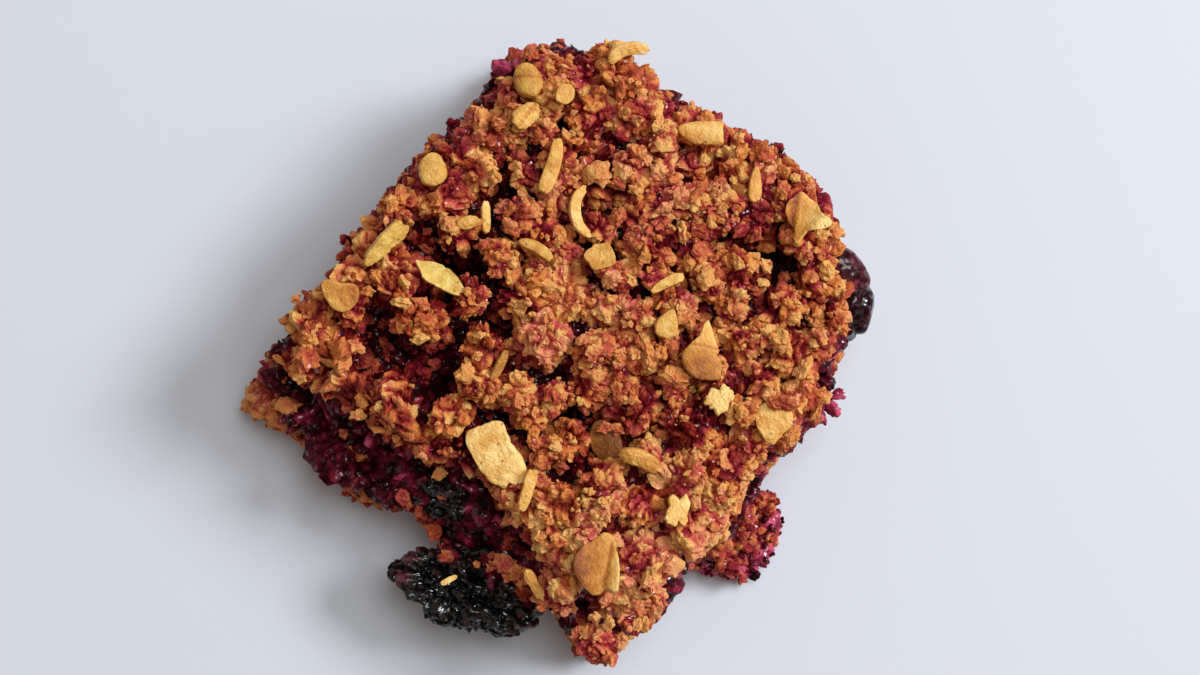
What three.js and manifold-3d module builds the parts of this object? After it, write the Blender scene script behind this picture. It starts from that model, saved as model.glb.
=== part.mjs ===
// A cut square of berry crumble, in millimetres, +Z up. A baked crumb crust carries a layer of set
// berry filling, and a heap of crumble with nut flakes lies on top. The front is the -Y side, where
// the crumble has fallen back and the filling shows. The origin is the middle of the square's flat
// underside.
import * as THREE from 'three';
import { mergeGeometries, mergeVertices } from 'three/addons/utils/BufferGeometryUtils.js';
import Module from 'manifold-3d';

const wasm = await Module();
wasm.setup();

// Driving dimensions
const WIDTH = 64; // along X
const DEPTH = 71; // along Y
const CRUST_TOP = 8.5; // mean height of the seam between crust and filling
const FILLING_TOP = 16.5; // mean height of the seam between filling and crumble
const CRUMBLE_TOP = 24.5; // mean height of the crumble's top before its clumps
const CLUMP_HEIGHT = 4.4; // how far a big clump stands above the crumble between the clumps
const GAP = 0.3; // between neighbours that touch
const BACK_FALL = 1.5; // the baked crust ends this far short of the crumble over it, at the back
const SEAM_WAVE = 0.8; // rise and fall of both seams
const SEAM_WAVELENGTH = 26;
const CRUMB = 3; // height of the crumbs that a wall breaks into
const OUTLINE_STEPS = 600; // points along an outline before it is thinned to a net's edge

// The crumble's front edge is set back, and the filling slopes down in front of it.
const SETBACK = 8.5;
const SLOPE_DROP = 5.5;

// Chance that repeats: a number from 0 to 1 for each point of a lattice.
function lattice(i, j, k) {
  const s = Math.sin(i * 127.1 + j * 311.7 + k * 74.7) * 43758.5453;
  return s - Math.floor(s);
}

const ease = (t) => t * t * (3 - 2 * t);
const mix = THREE.MathUtils.lerp;
const clamp = THREE.MathUtils.clamp;

// Smooth noise from -1 to 1 with features about one unit across.
function noise(x, y, z) {
  const [i, j, k] = [Math.floor(x), Math.floor(y), Math.floor(z)];
  const [u, v, w] = [ease(x - i), ease(y - j), ease(z - k)];
  const row = (b, c) => mix(lattice(i, j + b, k + c), lattice(i + 1, j + b, k + c), u);
  const sheet = (c) => mix(row(0, c), row(1, c), v);
  return 2 * mix(sheet(0), sheet(1), w) - 1;
}

// Two seams, each a gentle wave. Both neighbours of a seam read the same function.
const crustSeam = (x, y) => CRUST_TOP + SEAM_WAVE * noise(x / SEAM_WAVELENGTH, y / SEAM_WAVELENGTH, 3.5);
const fillingSeam = (x, y) => FILLING_TOP + SEAM_WAVE * noise(x / SEAM_WAVELENGTH, y / SEAM_WAVELENGTH, 7.5);

// A rectangle whose four corners each have their own radius, as 8 times half points: where the rays
// from its middle through the points of a square net's outermost square cross it.
function roundedRectangle({ left, right, front, back }, corner, half) {
  const shape = new THREE.Shape();
  const arc = (x, y, radius, quarter) => {
    const start = (quarter * Math.PI) / 2;
    shape.absarc(x, y, radius, start, start + Math.PI / 2);
  };
  arc(right - corner.backRight, back - corner.backRight, corner.backRight, 0);
  arc(left + corner.backLeft, back - corner.backLeft, corner.backLeft, 1);
  arc(left + corner.frontLeft, front + corner.frontLeft, corner.frontLeft, 2);
  arc(right - corner.frontRight, front + corner.frontRight, corner.frontRight, 3);
  shape.closePath();
  const fine = shape.getSpacedPoints(OUTLINE_STEPS);
  const middle = new THREE.Vector2((left + right) / 2, (front + back) / 2);
  const ray = new THREE.Vector2();
  return squareRing(half).map(([i, j]) => {
    ray.set(i * (right - left), j * (back - front)).normalize();
    const alongRay = (p) => p.clone().sub(middle).normalize().dot(ray);
    return fine.reduce((best, p) => (alongRay(p) > alongRay(best) ? p : best));
  });
}

// The points of a square net's outermost square, anticlockwise from the middle of its right side.
function squareRing(half) {
  const ring = [];
  for (let j = -half; j <= half; j += 1) {
    for (let i = -half; i <= half; i += 1) {
      if (Math.max(Math.abs(i), Math.abs(j)) === half) ring[roundTheSquare(i, j, half)] = [i, j];
    }
  }
  return ring;
}

// Moves each point of an outline in or out along its own radius.
function roughened(outline, amount, wavelength, seed) {
  return outline.map((p) => {
    const out = amount * noise(p.x / wavelength, p.y / wavelength, seed);
    return p.clone().multiplyScalar(1 + out / p.length());
  });
}

// Pushes an outline in or out at named places, each a smooth bump of one width.
function dented(outline, dents) {
  return outline.map((p) => {
    const push = dents.reduce((sum, d) => {
      const away = Math.hypot(p.x - d.x, p.y - d.y) / d.width;
      return sum + d.out * Math.exp(-away * away);
    }, 0);
    return p.clone().multiplyScalar(1 + push / p.length());
  });
}

// A strip of triangles between each ring of points and the next, all rings of one count.
function strips(rings) {
  const count = rings[0].length;
  const at = (ring, k) => ring * count + (k % count);
  const index = [];
  for (let ring = 0; ring < rings.length - 1; ring += 1) {
    for (let k = 0; k < count; k += 1) {
      index.push(at(ring, k), at(ring, k + 1), at(ring + 1, k + 1));
      index.push(at(ring, k), at(ring + 1, k + 1), at(ring + 1, k));
    }
  }
  return surface(rings.flat(), index);
}

// A fan of triangles from a ring of points to one point. It faces up if the ring comes first.
function fan(ring, tip, facesUp) {
  const index = [];
  for (let k = 0; k < ring.length; k += 1) {
    const next = (k + 1) % ring.length;
    index.push(...(facesUp ? [k, next, ring.length] : [next, k, ring.length]));
  }
  return surface([...ring, tip], index);
}

function surface(points, index) {
  const geometry = new THREE.BufferGeometry();
  const position = points.flatMap((p) => [p.x, p.y, p.z]);
  geometry.setAttribute('position', new THREE.Float32BufferAttribute(position, 3));
  geometry.setIndex(index);
  return geometry;
}

// A body of rings round the Z axis, from a point below to a point above.
function ringBody(first, rings, last) {
  const lowest = rings[0];
  const highest = rings[rings.length - 1];
  return welded([fan(lowest, first, false), strips(rings), fan(highest, last, true)]);
}

// One closed body from surfaces whose edges meet.
function welded(surfaces) {
  return mergeVertices(mergeGeometries(surfaces), 1e-4);
}

// A lid over an outline of 8 times half points: a square net, whose outermost square lies on the
// outline and whose inner squares shrink towards the middle.
function netLid(outline, middle, half, heightAt) {
  const side = 2 * half + 1;
  const points = [];
  for (let j = -half; j <= half; j += 1) {
    for (let i = -half; i <= half; i += 1) {
      const ring = Math.max(Math.abs(i), Math.abs(j));
      const share = ring / half;
      const edge = ring === 0 ? middle : outlineAt(outline, roundTheSquare(i, j, ring) / (8 * ring));
      const { x, y } = middle.clone().lerp(edge, share);
      points.push(new THREE.Vector3(x, y, heightAt(x, y, share)));
    }
  }
  const index = [];
  for (let j = 0; j < side - 1; j += 1) {
    for (let i = 0; i < side - 1; i += 1) {
      const k = j * side + i;
      index.push(k, k + 1, k + side + 1, k, k + side + 1, k + side);
    }
  }
  return surface(points, index);
}

// Steps from the middle of a square's right side, anticlockwise round it, to one of its points.
function roundTheSquare(i, j, ring) {
  if (i === ring && j >= 0) return j;
  if (j === ring) return 2 * ring - i;
  if (i === -ring) return 4 * ring - j;
  if (j === -ring) return 6 * ring + i;
  return 8 * ring + j;
}

// The point a share of the way round a closed outline.
function outlineAt(outline, share) {
  const along = share * outline.length;
  const k = Math.floor(along) % outline.length;
  return outline[k].clone().lerp(outline[(k + 1) % outline.length], along - Math.floor(along));
}

// One layer of the square. floorAt and topAt give heights, and wallAt gives how far the wall stands
// out at a share of its height. half is half the number of meshes across the top's net.
function layer({ outline, floorAt, topAt, wallAt, floorRings, wallRings, half }) {
  const middle = new THREE.Box2().setFromPoints(outline).getCenter(new THREE.Vector2());
  const onFloor = ({ x, y }) => new THREE.Vector3(x, y, floorAt(x, y));
  const scaled = (share) => outline.map((p) => onFloor(middle.clone().lerp(p, share)));
  const floors = Array.from({ length: floorRings }, (_, i) => scaled((i + 1) / floorRings));
  const walls = Array.from({ length: wallRings }, (_, i) => {
    const rise = (i + 1) / wallRings;
    return outline.map((p) => {
      const z = mix(floorAt(p.x, p.y), topAt(p.x, p.y, 1), rise);
      const out = rise < 1 ? 1 + wallAt(p.x, p.y, z, rise) / p.length() : 1;
      return new THREE.Vector3(p.x * out, p.y * out, z);
    });
  });
  const below = fan(floors[0], onFloor(middle), false);
  return welded([below, strips([...floors, ...walls]), netLid(outline, middle, half, topAt)]);
}

// How far a wall stands out: a bulge between its foot and its top, and broken crumb all over it.
function brokenWall(bulge, rough, wavelength) {
  return (x, y, z, rise) =>
    bulge * Math.sin(Math.PI * rise) + rough * noise(x / wavelength, y / wavelength, z / CRUMB);
}

// Crust: flat below, with a broken, bulging wall.
const CRUST_ROUGH = 1.1;
const CRUST_NET = 8;
const crustDents = [
  { x: -29, y: -35, width: 5, out: 1.6 }, // corner of baked crumb that stands out
  { x: -12, y: -36, width: 6, out: -1.8 },
  { x: 14, y: -36, width: 7, out: -1.2 },
  { x: 32, y: -18, width: 6, out: -1.5 },
];

function crustGeometry() {
  const edges = { left: -WIDTH / 2, right: WIDTH / 2, front: -DEPTH / 2, back: DEPTH / 2 - BACK_FALL };
  const corner = { frontLeft: 3, frontRight: 4, backLeft: 9, backRight: 15 };
  const square = roundedRectangle(edges, corner, CRUST_NET);
  const outline = dented(roughened(square, CRUST_ROUGH, 6, 1.5), crustDents);
  return layer({
    outline,
    floorAt: () => 0,
    topAt: (x, y) => crustSeam(x, y) - GAP / 2,
    wallAt: brokenWall(1.2, 0.7, 4),
    floorRings: 1,
    wallRings: 4,
    half: CRUST_NET,
  });
}

// Filling: soft lumps of fruit, sloping down where it shows in front.
const LUMP = 1.5;
const LUMP_WAVELENGTH = 5.5;
const FILLING_NET = 8;
const FILLING_ROUGH = 1;
const FILLING_INSET = 1; // the filling's edge, in from the crust's
const SLOPE_START = 2.5; // the slope starts this far behind the crumble's front edge
const crumbleFront = -DEPTH / 2 + SETBACK;
const fillingDents = [
  { x: -29, y: -34, width: 4, out: -1.5 },
  { x: 31, y: 20, width: 5, out: 1.6 }, // fruit that squeezes out at the right
  { x: 30, y: 10, width: 4, out: 1.4 },
  { x: 18, y: 34, width: 4, out: 1.2 },
];

function fillingTop(x, y) {
  const open = ease(clamp((crumbleFront + SLOPE_START - y) / SETBACK, 0, 1));
  const lumps = LUMP * noise(x / LUMP_WAVELENGTH, y / LUMP_WAVELENGTH, 12.5);
  return fillingSeam(x, y) - GAP / 2 - open * (SLOPE_DROP - lumps);
}

function fillingGeometry() {
  const side = WIDTH / 2 - FILLING_INSET;
  const end = DEPTH / 2 - FILLING_INSET;
  const edges = { left: -side, right: side, front: -end, back: end - BACK_FALL };
  const corner = { frontLeft: 4, frontRight: 5, backLeft: 9, backRight: 16 };
  const square = roundedRectangle(edges, corner, FILLING_NET);
  const outline = dented(roughened(square, FILLING_ROUGH, 5, 2.5), fillingDents);
  return layer({
    outline,
    floorAt: (x, y) => crustSeam(x, y) + GAP / 2,
    topAt: fillingTop,
    wallAt: brokenWall(1.1, 0.9, 3.6),
    floorRings: 3,
    wallRings: 4,
    half: FILLING_NET,
  });
}

// Crumble: round clumps of unlike size, spread evenly by a sequence that never repeats. A clump's
// share of the step between clumps and its size both follow from its number.
const CRUMBLE_NET = 13;
const CLUMP_COUNT = 96;
const STEP_X = 0.7548776662466927; // the sequence's two steps, which fill a square evenly
const STEP_Y = 0.5698402909980532;
const CLUMP_SMALLEST = 3.2;
const CLUMP_LARGEST = 5.8;
const DOME = 0.75; // 0.5 would make every clump half a ball, and 1 a low mound

const clumps = Array.from({ length: CLUMP_COUNT }, (_, n) => ({
  x: WIDTH * (((n * STEP_X + 0.5) % 1) - 0.5),
  y: DEPTH * (((n * STEP_Y + 0.5) % 1) - 0.5),
  radius: mix(CLUMP_SMALLEST, CLUMP_LARGEST, lattice(n, 5, 1) ** 2),
  height: lattice(n, 9, 2),
}));

// Height of the clumps over a point, from 0 in a gap to CLUMP_HEIGHT.
function clumpHeight(x, y) {
  return clumps.reduce((most, c) => {
    const away = Math.hypot(x - c.x, y - c.y) / c.radius;
    if (away >= 1) return most;
    const dome = (1 - away * away) ** DOME;
    return Math.max(most, CLUMP_HEIGHT * mix(0.45, 1, c.height) * dome);
  }, 0);
}

// Named gaps between clumps, where the filling's colour shows from below.
const pits = [
  { x: -21, y: -2.5, radius: 3.4, depth: 5 },
  { x: -13, y: -8.5, radius: 3.2, depth: 4.5 },
  { x: -26.5, y: 9, radius: 3.2, depth: 4 },
  { x: -6, y: 10.5, radius: 2.4, depth: 4 },
  { x: 15, y: 26, radius: 2.6, depth: 4.5 },
  { x: 13, y: -13.5, radius: 3, depth: 4 },
  { x: 6, y: -7, radius: 2.2, depth: 3 },
  { x: 22, y: -27.5, radius: 4, depth: 5 },
];

const CRUMBLE_ROUGH = 1.5;
const CRUMBLE_INSET = 0.5; // the crumble's side, in from the crust's
const SHOULDER = 5; // width of the rounded shoulder round the crumble's top
const SHOULDER_FOOT = 0.42; // share of its full height that the crumble has at its very edge
const THINNEST = 1.6; // of the crumble, under a pit
const SWELL = 1.1; // slow rise and fall of the heap
const SWELL_WAVELENGTH = 18;
const crumbleBase = (x, y) => fillingSeam(x, y) + GAP / 2;

// Height of the crumble's top. share is the place from the middle, 0, to the edge, 1.
function crumbleTop(x, y, share) {
  const inward = ((1 - share) * WIDTH) / 2 / SHOULDER;
  const shoulder = Math.sqrt(1 - (1 - Math.min(inward, 1)) ** 2);
  const pit = pits.reduce((sum, p) => {
    const away = Math.hypot(x - p.x, y - p.y) / p.radius;
    return sum + p.depth * Math.exp(-away * away);
  }, 0);
  const swell = SWELL * noise(x / SWELL_WAVELENGTH, y / SWELL_WAVELENGTH, 21.5);
  const full = CRUMBLE_TOP - crumbleBase(x, y) + swell + clumpHeight(x, y) - CLUMP_HEIGHT / 2 - pit;
  return crumbleBase(x, y) + Math.max(THINNEST, full * mix(SHOULDER_FOOT, 1, shoulder));
}

const crumbleDents = [
  { x: -19.5, y: 33, width: 4.5, out: 2.2 }, // clump that stands up at the back
  { x: 7, y: 35, width: 6, out: 2.6 }, // crumble bulges over the crust at the back
  { x: 25, y: 26, width: 5, out: -2.8 }, // the berry at the back right shows here
  { x: 3, y: -27, width: 6, out: -4.5 }, // notch over the sunk berry
  { x: 29, y: -30, width: 5, out: 2.5 },
  { x: 17, y: -27, width: 4, out: -2 },
  { x: -29, y: -24, width: 5, out: 1.5 },
];

function crumbleGeometry() {
  const side = WIDTH / 2 - CRUMBLE_INSET;
  const edges = { left: -side, right: side, front: crumbleFront, back: DEPTH / 2 - 2 * CRUMBLE_INSET };
  const corner = { frontLeft: 5, frontRight: 7, backLeft: 11, backRight: 16 };
  const square = roundedRectangle(edges, corner, CRUMBLE_NET);
  const outline = dented(roughened(square, CRUMBLE_ROUGH, 5.5, 4.5), crumbleDents);
  return layer({
    outline,
    floorAt: crumbleBase,
    topAt: crumbleTop,
    wallAt: brokenWall(1.2, 1.2, 4),
    floorRings: 3,
    wallRings: 3,
    half: CRUMBLE_NET,
  });
}

const BERRY_AROUND = 16;
const BERRY_ALONG = 10;

// A berry shrunk by baking: a long ball with wrinkles.
function berryGeometry({ length, width, height }, wrinkle) {
  const ball = new THREE.SphereGeometry(1, BERRY_AROUND, BERRY_ALONG);
  ball.rotateZ(Math.PI / 2);
  ball.deleteAttribute('normal');
  ball.deleteAttribute('uv');
  const geometry = mergeVertices(ball, 1e-4);
  const p = geometry.getAttribute('position');
  for (let i = 0; i < p.count; i += 1) {
    const [x, y, z] = [p.getX(i), p.getY(i), p.getZ(i)];
    const fold = 1 + wrinkle * noise(2.2 * x, 2.8 * y, 2.8 * z + length);
    p.setXYZ(i, (x * length * fold) / 2, (y * width * fold) / 2, (z * height * fold) / 2);
  }
  return geometry;
}

const FLAKE_THICKNESS = 1.1;
const RIM = 0.8; // a flake's flat face, as a share of its outline

// A flake of nut, cut thin and curled by the heat. Its outline is an oval squared off by square and
// narrowed towards one end by taper, and curl lifts both ends.
function flakeGeometry({ length, width, square = 0.8, taper = 0, curl = 0 }, extra = 0) {
  const around = 10;
  const half = FLAKE_THICKNESS / 2 + extra;
  const ring = (share, z) =>
    Array.from({ length: around }, (_, k) => {
      const turn = (2 * Math.PI * k) / around;
      const [c, s] = [Math.cos(turn), Math.sin(turn)];
      const u = Math.sign(c) * Math.abs(c) ** square * share;
      const v = Math.sign(s) * Math.abs(s) ** square * share * (1 - taper * u);
      return new THREE.Vector3(u * (length / 2 + extra), v * (width / 2 + extra), z + curl * u * u);
    });
  const rings = [ring(RIM, -half), ring(1, 0), ring(RIM, half)];
  return ringBody(new THREE.Vector3(0, 0, -half), rings, new THREE.Vector3(0, 0, half));
}

// The flakes large enough to pick off, by name: middle, size, turn about Z, and lean of each end.
const flakes = {
  flake_big: { x: 0.9, y: -18.9, length: 8.8, width: 6.2, square: 0.55, turn: -18, lean: 6, roll: 8 },
  flake_stick: { x: 7.4, y: -20.8, length: 5.6, width: 1.7, square: 0.6, turn: 113, lean: -8, roll: 10 },
  flake_leaf: { x: -19.7, y: -5.9, length: 7.6, width: 3.6, taper: -0.25, curl: 0.8, turn: 5, lean: 12 },
  flake_left_round: { x: -28.4, y: -15.8, length: 5.2, width: 4.6, turn: 39, lean: -4, roll: 12 },
  flake_left_edge: { x: -28.6, y: -7, length: 7.4, width: 3, turn: 87, lean: 4, roll: 38 },
  flake_left_back: { x: -29.4, y: 5, length: 4.9, width: 3.9, turn: 129, lean: 4, roll: 24 },
  flake_long: { x: -17.5, y: 15.4, length: 7.9, width: 1.9, square: 0.6, curl: 0.7, turn: 113, lean: 6 },
  flake_hook: { x: -10.5, y: 13.2, length: 6.4, width: 1.8, curl: 1.3, turn: 135, lean: -5, roll: 30 },
  flake_back: { x: -4.4, y: 31.8, length: 6.9, width: 3.1, taper: -0.4, turn: 34, lean: -8, roll: 6 },
  flake_curl: { x: 13.2, y: 31, length: 6, width: 5, curl: 1.5, taper: 0.2, turn: 20, lean: 12, roll: -14 },
  flake_tear: { x: 14.1, y: 8.5, length: 8, width: 5.4, taper: 0.6, turn: 135, lean: 8, roll: 4 },
  flake_half_sunk: { x: 11, y: -9.4, length: 6.8, width: 5, taper: 0.2, turn: -11, lean: -14, roll: 12 },
  flake_shell: { x: 16.9, y: -7.4, length: 5, width: 2.9, curl: 0.9, turn: 27, lean: 10, roll: 14 },
  flake_low_tear: { x: 21.1, y: -22.6, length: 8.6, width: 5.8, taper: 0.6, turn: 121, lean: 12, roll: 8 },
  flake_right: { x: 27, y: 7.5, length: 5.8, width: 4.8, square: 0.6, turn: 69, lean: -6, roll: -10 },
  flake_back_left: { x: -27.6, y: 22.8, length: 4.9, width: 3.9, turn: 149, lean: 14, roll: 8 },
  flake_upright: { x: -19.8, y: 33.2, length: 5.6, width: 3, curl: 1.2, turn: 55, lean: 6, roll: 60 },
};

// Where a body sits: moved to a point, turned about Z, then leaned along and rolled across itself.
function placement({ x, y, z, turn = 0, lean = 0, roll = 0 }) {
  const radians = THREE.MathUtils.degToRad;
  const rotation = new THREE.Euler(radians(roll), radians(lean), radians(turn), 'ZYX');
  const place = new THREE.Matrix4().makeRotationFromEuler(rotation);
  return place.setPosition(x, y, z);
}

const NEAREST_EDGE = 0.97; // a flake rests on the shoulder, and never on its very foot

// Height of the crumble beside a point, read over the flake's own footprint.
function restingHeight({ x, y, length }) {
  const reach = length / 4;
  const around = [[0, 0], [reach, 0], [-reach, 0], [0, reach], [0, -reach]];
  const heights = around.map(([dx, dy]) => crumbleTop(x + dx, y + dy, shareOf(x + dx, y + dy)));
  return heights.reduce((sum, h) => sum + h, 0) / heights.length;
}

// Share of the way from the middle to the crumble's edge, near enough for resting a flake.
function shareOf(x, y) {
  return Math.min(NEAREST_EDGE, Math.max(Math.abs(x) / (WIDTH / 2), Math.abs(y) / (DEPTH / 2)));
}

// Berries that show: one squeezed out of the front, one at the back right, and one sunk in front.
const berries = {
  berry_front: {
    size: { length: 21, width: 12.6, height: 11.5 },
    place: { x: 9.4, y: -37.4, z: 9.6, turn: 17, lean: 4, roll: -12 },
    wrinkle: 0.16,
  },
  berry_back_right: {
    size: { length: 14.5, width: 11, height: 10.5 },
    place: { x: 23.2, y: 26.2, z: 14.2, turn: 128, lean: 6, roll: 8 },
    wrinkle: 0.12,
  },
  berry_sunk: {
    size: { length: 12, width: 9.5, height: 8 },
    place: { x: 2.2, y: -28.6, z: 13.2, turn: 12, lean: 0, roll: 20 },
    wrinkle: 0.13,
  },
};

// A lump of crust and fruit pressed out beside the right wall, lying on the surface.
const lump = { x: 36.2, y: -6.6, length: 15.5, width: 9.6, height: 7.6 };
const LUMP_NET = 4;
const LUMP_EDGE = 0.45; // height of the lump's edge, as a share of its middle
const LUMP_ROUGH = 0.25;

function lumpGeometry() {
  const outline = Array.from({ length: 8 * LUMP_NET }, (_, k) => {
    const turn = (2 * Math.PI * k) / (8 * LUMP_NET);
    const rough = 1 + LUMP_ROUGH * noise(2 * Math.cos(turn), 2 * Math.sin(turn), 31.5);
    const [across, along] = [(rough * lump.width) / 2, (rough * lump.length) / 2];
    return new THREE.Vector2(Math.cos(turn) * across, Math.sin(turn) * along);
  });
  const geometry = layer({
    outline,
    floorAt: () => 0,
    topAt: (x, y, share) => {
      const dome = mix(LUMP_EDGE, 1, Math.sqrt(Math.max(0, 1 - share * share)));
      return lump.height * dome * (1 + LUMP_ROUGH * noise(x / 3, y / 3, 41.5));
    },
    wallAt: brokenWall(0.6, 0, CRUMB),
    floorRings: 1,
    wallRings: 2,
    half: LUMP_NET,
  });
  return geometry.translate(lump.x, lump.y, 0);
}

// A mesh's geometry as a solid for cutting, and back again.
function solidOf(geometry) {
  const merged = mergeVertices(geometry, 1e-4);
  const vertProperties = new Float32Array(merged.getAttribute('position').array);
  const triVerts = new Uint32Array(merged.index.array);
  return new wasm.Manifold(new wasm.Mesh({ numProp: 3, vertProperties, triVerts }));
}

function geometryOf(solid) {
  const { vertProperties, triVerts } = solid.getMesh();
  const geometry = new THREE.BufferGeometry();
  geometry.setAttribute('position', new THREE.BufferAttribute(vertProperties, 3));
  geometry.setIndex(new THREE.BufferAttribute(triVerts, 1));
  return geometry;
}

// Cuts room for the tools out of a body, and keeps its largest piece.
function cutBy(geometry, tools) {
  const cut = tools.reduce((body, tool) => body.subtract(solidOf(tool)), solidOf(geometry));
  const pieces = cut.decompose();
  const largest = pieces.reduce((a, b) => (b.volume() > a.volume() ? b : a));
  return geometryOf(largest);
}

// A berry in its place, or with extra all round it as the room to cut for it.
function berryBody(name, extra = 0) {
  const { size, place, wrinkle } = berries[name];
  const grown = berryGeometry(size, wrinkle);
  const p = grown.getAttribute('position');
  for (let i = 0; i < p.count; i += 1) {
    const v = new THREE.Vector3().fromBufferAttribute(p, i);
    v.setLength(v.length() + extra);
    p.setXYZ(i, v.x, v.y, v.z);
  }
  return grown.applyMatrix4(placement(place));
}

function flakeBody(name, extra = 0) {
  const flake = flakes[name];
  const z = restingHeight(flake) + FLAKE_THICKNESS / 2;
  return flakeGeometry(flake, extra).applyMatrix4(placement({ ...flake, z }));
}

const finish = (color, roughness) => new THREE.MeshStandardMaterial({ color, roughness, metalness: 0 });
const materials = {
  crust: finish(0xb8763a, 0.85),
  filling: finish(0x5c0c2a, 0.25),
  crumble: finish(0xb9692f, 0.8),
  berry: finish(0x1d0d14, 0.35),
  nut: finish(0xd9a64e, 0.55),
  lump: finish(0x7a2238, 0.5),
};

function part(name, geometry, material) {
  const mesh = new THREE.Mesh(geometry, material);
  mesh.name = name;
  return mesh;
}

function crumbleSquare() {
  const whole = new THREE.Group();
  const berryNames = Object.keys(berries);
  const flakeNames = Object.keys(flakes);
  const berryRoom = berryNames.map((name) => berryBody(name, GAP));
  const flakeRoom = flakeNames.map((name) => flakeBody(name, GAP));
  const lumpBody = lumpGeometry();
  const lumpRoom = lumpGeometry().scale(1, 1, 1 + GAP / lump.height).translate(-GAP, 0, 0);
  const crust = cutBy(crustGeometry(), [...berryRoom, lumpRoom]);
  const filling = cutBy(fillingGeometry(), berryRoom);
  const crumble = cutBy(crumbleGeometry(), [...berryRoom, ...flakeRoom]);
  whole.add(part('crust', crust, materials.crust));
  whole.add(part('filling', filling, materials.filling));
  whole.add(part('crumble', crumble, materials.crumble));
  whole.add(part('side_lump', lumpBody, materials.lump));
  for (const name of berryNames) whole.add(part(name, berryBody(name), materials.berry));
  for (const name of flakeNames) whole.add(part(name, flakeBody(name), materials.nut));
  return whole;
}

export default crumbleSquare();
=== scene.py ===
# %% [markdown]
# # A cut square of berry crumble
#
# The real thing is a traybake: a crust of pressed crumb, a layer of set berry filling and a heap of crumble
# with flakes of nut. Its looks are all in the roughness, so this lesson makes thousands of uneven lumps,
# each one worked out by a formula, and then finishes them with a few materials that share their recipes.
#
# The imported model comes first. It fixes where each piece lies and how large it is, and the pieces made here
# take its place.

import math

import bpy
import numpy as np
from mathutils import Matrix, Vector


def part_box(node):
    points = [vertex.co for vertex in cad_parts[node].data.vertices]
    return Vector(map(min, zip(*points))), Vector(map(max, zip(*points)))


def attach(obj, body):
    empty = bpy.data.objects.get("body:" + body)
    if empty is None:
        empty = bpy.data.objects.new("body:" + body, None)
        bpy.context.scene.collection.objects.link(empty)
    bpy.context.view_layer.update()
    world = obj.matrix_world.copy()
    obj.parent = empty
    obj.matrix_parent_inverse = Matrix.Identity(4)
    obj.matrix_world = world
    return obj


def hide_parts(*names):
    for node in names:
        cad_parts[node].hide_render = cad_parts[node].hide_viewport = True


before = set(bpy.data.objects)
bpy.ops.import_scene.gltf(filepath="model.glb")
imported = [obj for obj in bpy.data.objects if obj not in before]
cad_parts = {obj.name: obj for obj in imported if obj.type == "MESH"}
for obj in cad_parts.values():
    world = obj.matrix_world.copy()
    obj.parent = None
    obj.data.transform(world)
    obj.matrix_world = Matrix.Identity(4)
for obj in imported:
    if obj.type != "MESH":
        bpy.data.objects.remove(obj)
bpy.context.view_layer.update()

# %% [markdown]
# ## Millimetres
#
# Crumbs are easier to think of in millimetres, but Blender's scene is in metres. Every shape below is worked
# out in millimetres, and one helper turns it into a mesh in metres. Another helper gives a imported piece's box
# in millimetres, so that new pieces are placed by it.

# %% Units and boxes
MM = 0.001  # metres in a millimetre


def box_of(name):
    """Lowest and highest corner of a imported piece, in millimetres."""
    low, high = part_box(name)
    return np.array(low) / MM, np.array(high) / MM


def middle_of(name):
    """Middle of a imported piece's box, in millimetres."""
    low, high = box_of(name)
    return (low + high) / 2


for layer in ("crust", "filling", "crumble"):
    print(layer, "from", box_of(layer)[0].round(1), "to", box_of(layer)[1].round(1))

# %% [markdown]
# ## Chance that repeats
#
# Baking is uneven, but a script has to give the same result each time. So all chance here is worked out from
# whole numbers: a cell's three numbers are multiplied by large primes and mixed, which gives a value that
# looks random and never changes. Two kinds of pattern are built on it. Smooth noise swells and dips. Cell
# distance gives packed lumps, as when each cell holds one crumb.

# %% Noise
HASH_PRIMES = (73856093, 19349663, 83492791)
HASH_SEED = 2654435761
HASH_MIX = 1274126177
LOW_32_BITS = 0xFFFFFFFF
LOW_24_BITS = 0xFFFFFF
OWN_CHANCE = 9  # added to the seed for a cell's own chance


def chance(cells, seed):
    """A number from 0 to 1 for each cell: its numbers times primes, mixed by shifts, and scaled."""
    whole = cells.astype(np.int64)
    mixed = whole[..., 0] * HASH_PRIMES[0] ^ whole[..., 1] * HASH_PRIMES[1] ^ whole[..., 2] * HASH_PRIMES[2]
    mixed = (mixed ^ seed * HASH_SEED) & LOW_32_BITS
    mixed = ((mixed ^ mixed >> 13) * HASH_MIX) & LOW_32_BITS
    mixed = ((mixed ^ mixed >> 16) * HASH_MIX) & LOW_32_BITS
    return (mixed >> 7 & LOW_24_BITS) / LOW_24_BITS


def noise(points, seed=0):
    """Smooth noise from -1 to 1: chance at a cell's eight corners, blended by an S-curve along each axis."""
    low = np.floor(points)
    part = points - low
    blend = part * part * (3 - 2 * part)
    total = np.zeros(points.shape[:-1])
    for corner in np.ndindex(2, 2, 2):
        share = np.prod(np.where(corner, blend, 1 - blend), axis=-1)
        total += share * chance(low + corner, seed)
    return 2 * total - 1


def rough_noise(points, octaves, seed=0):
    """Noise at several sizes: each next one is half as wide and half as strong."""
    total = np.zeros(points.shape[:-1])
    for octave in range(octaves):
        total += noise(points * 2**octave, seed + octave) / 2**octave
    return total


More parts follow.
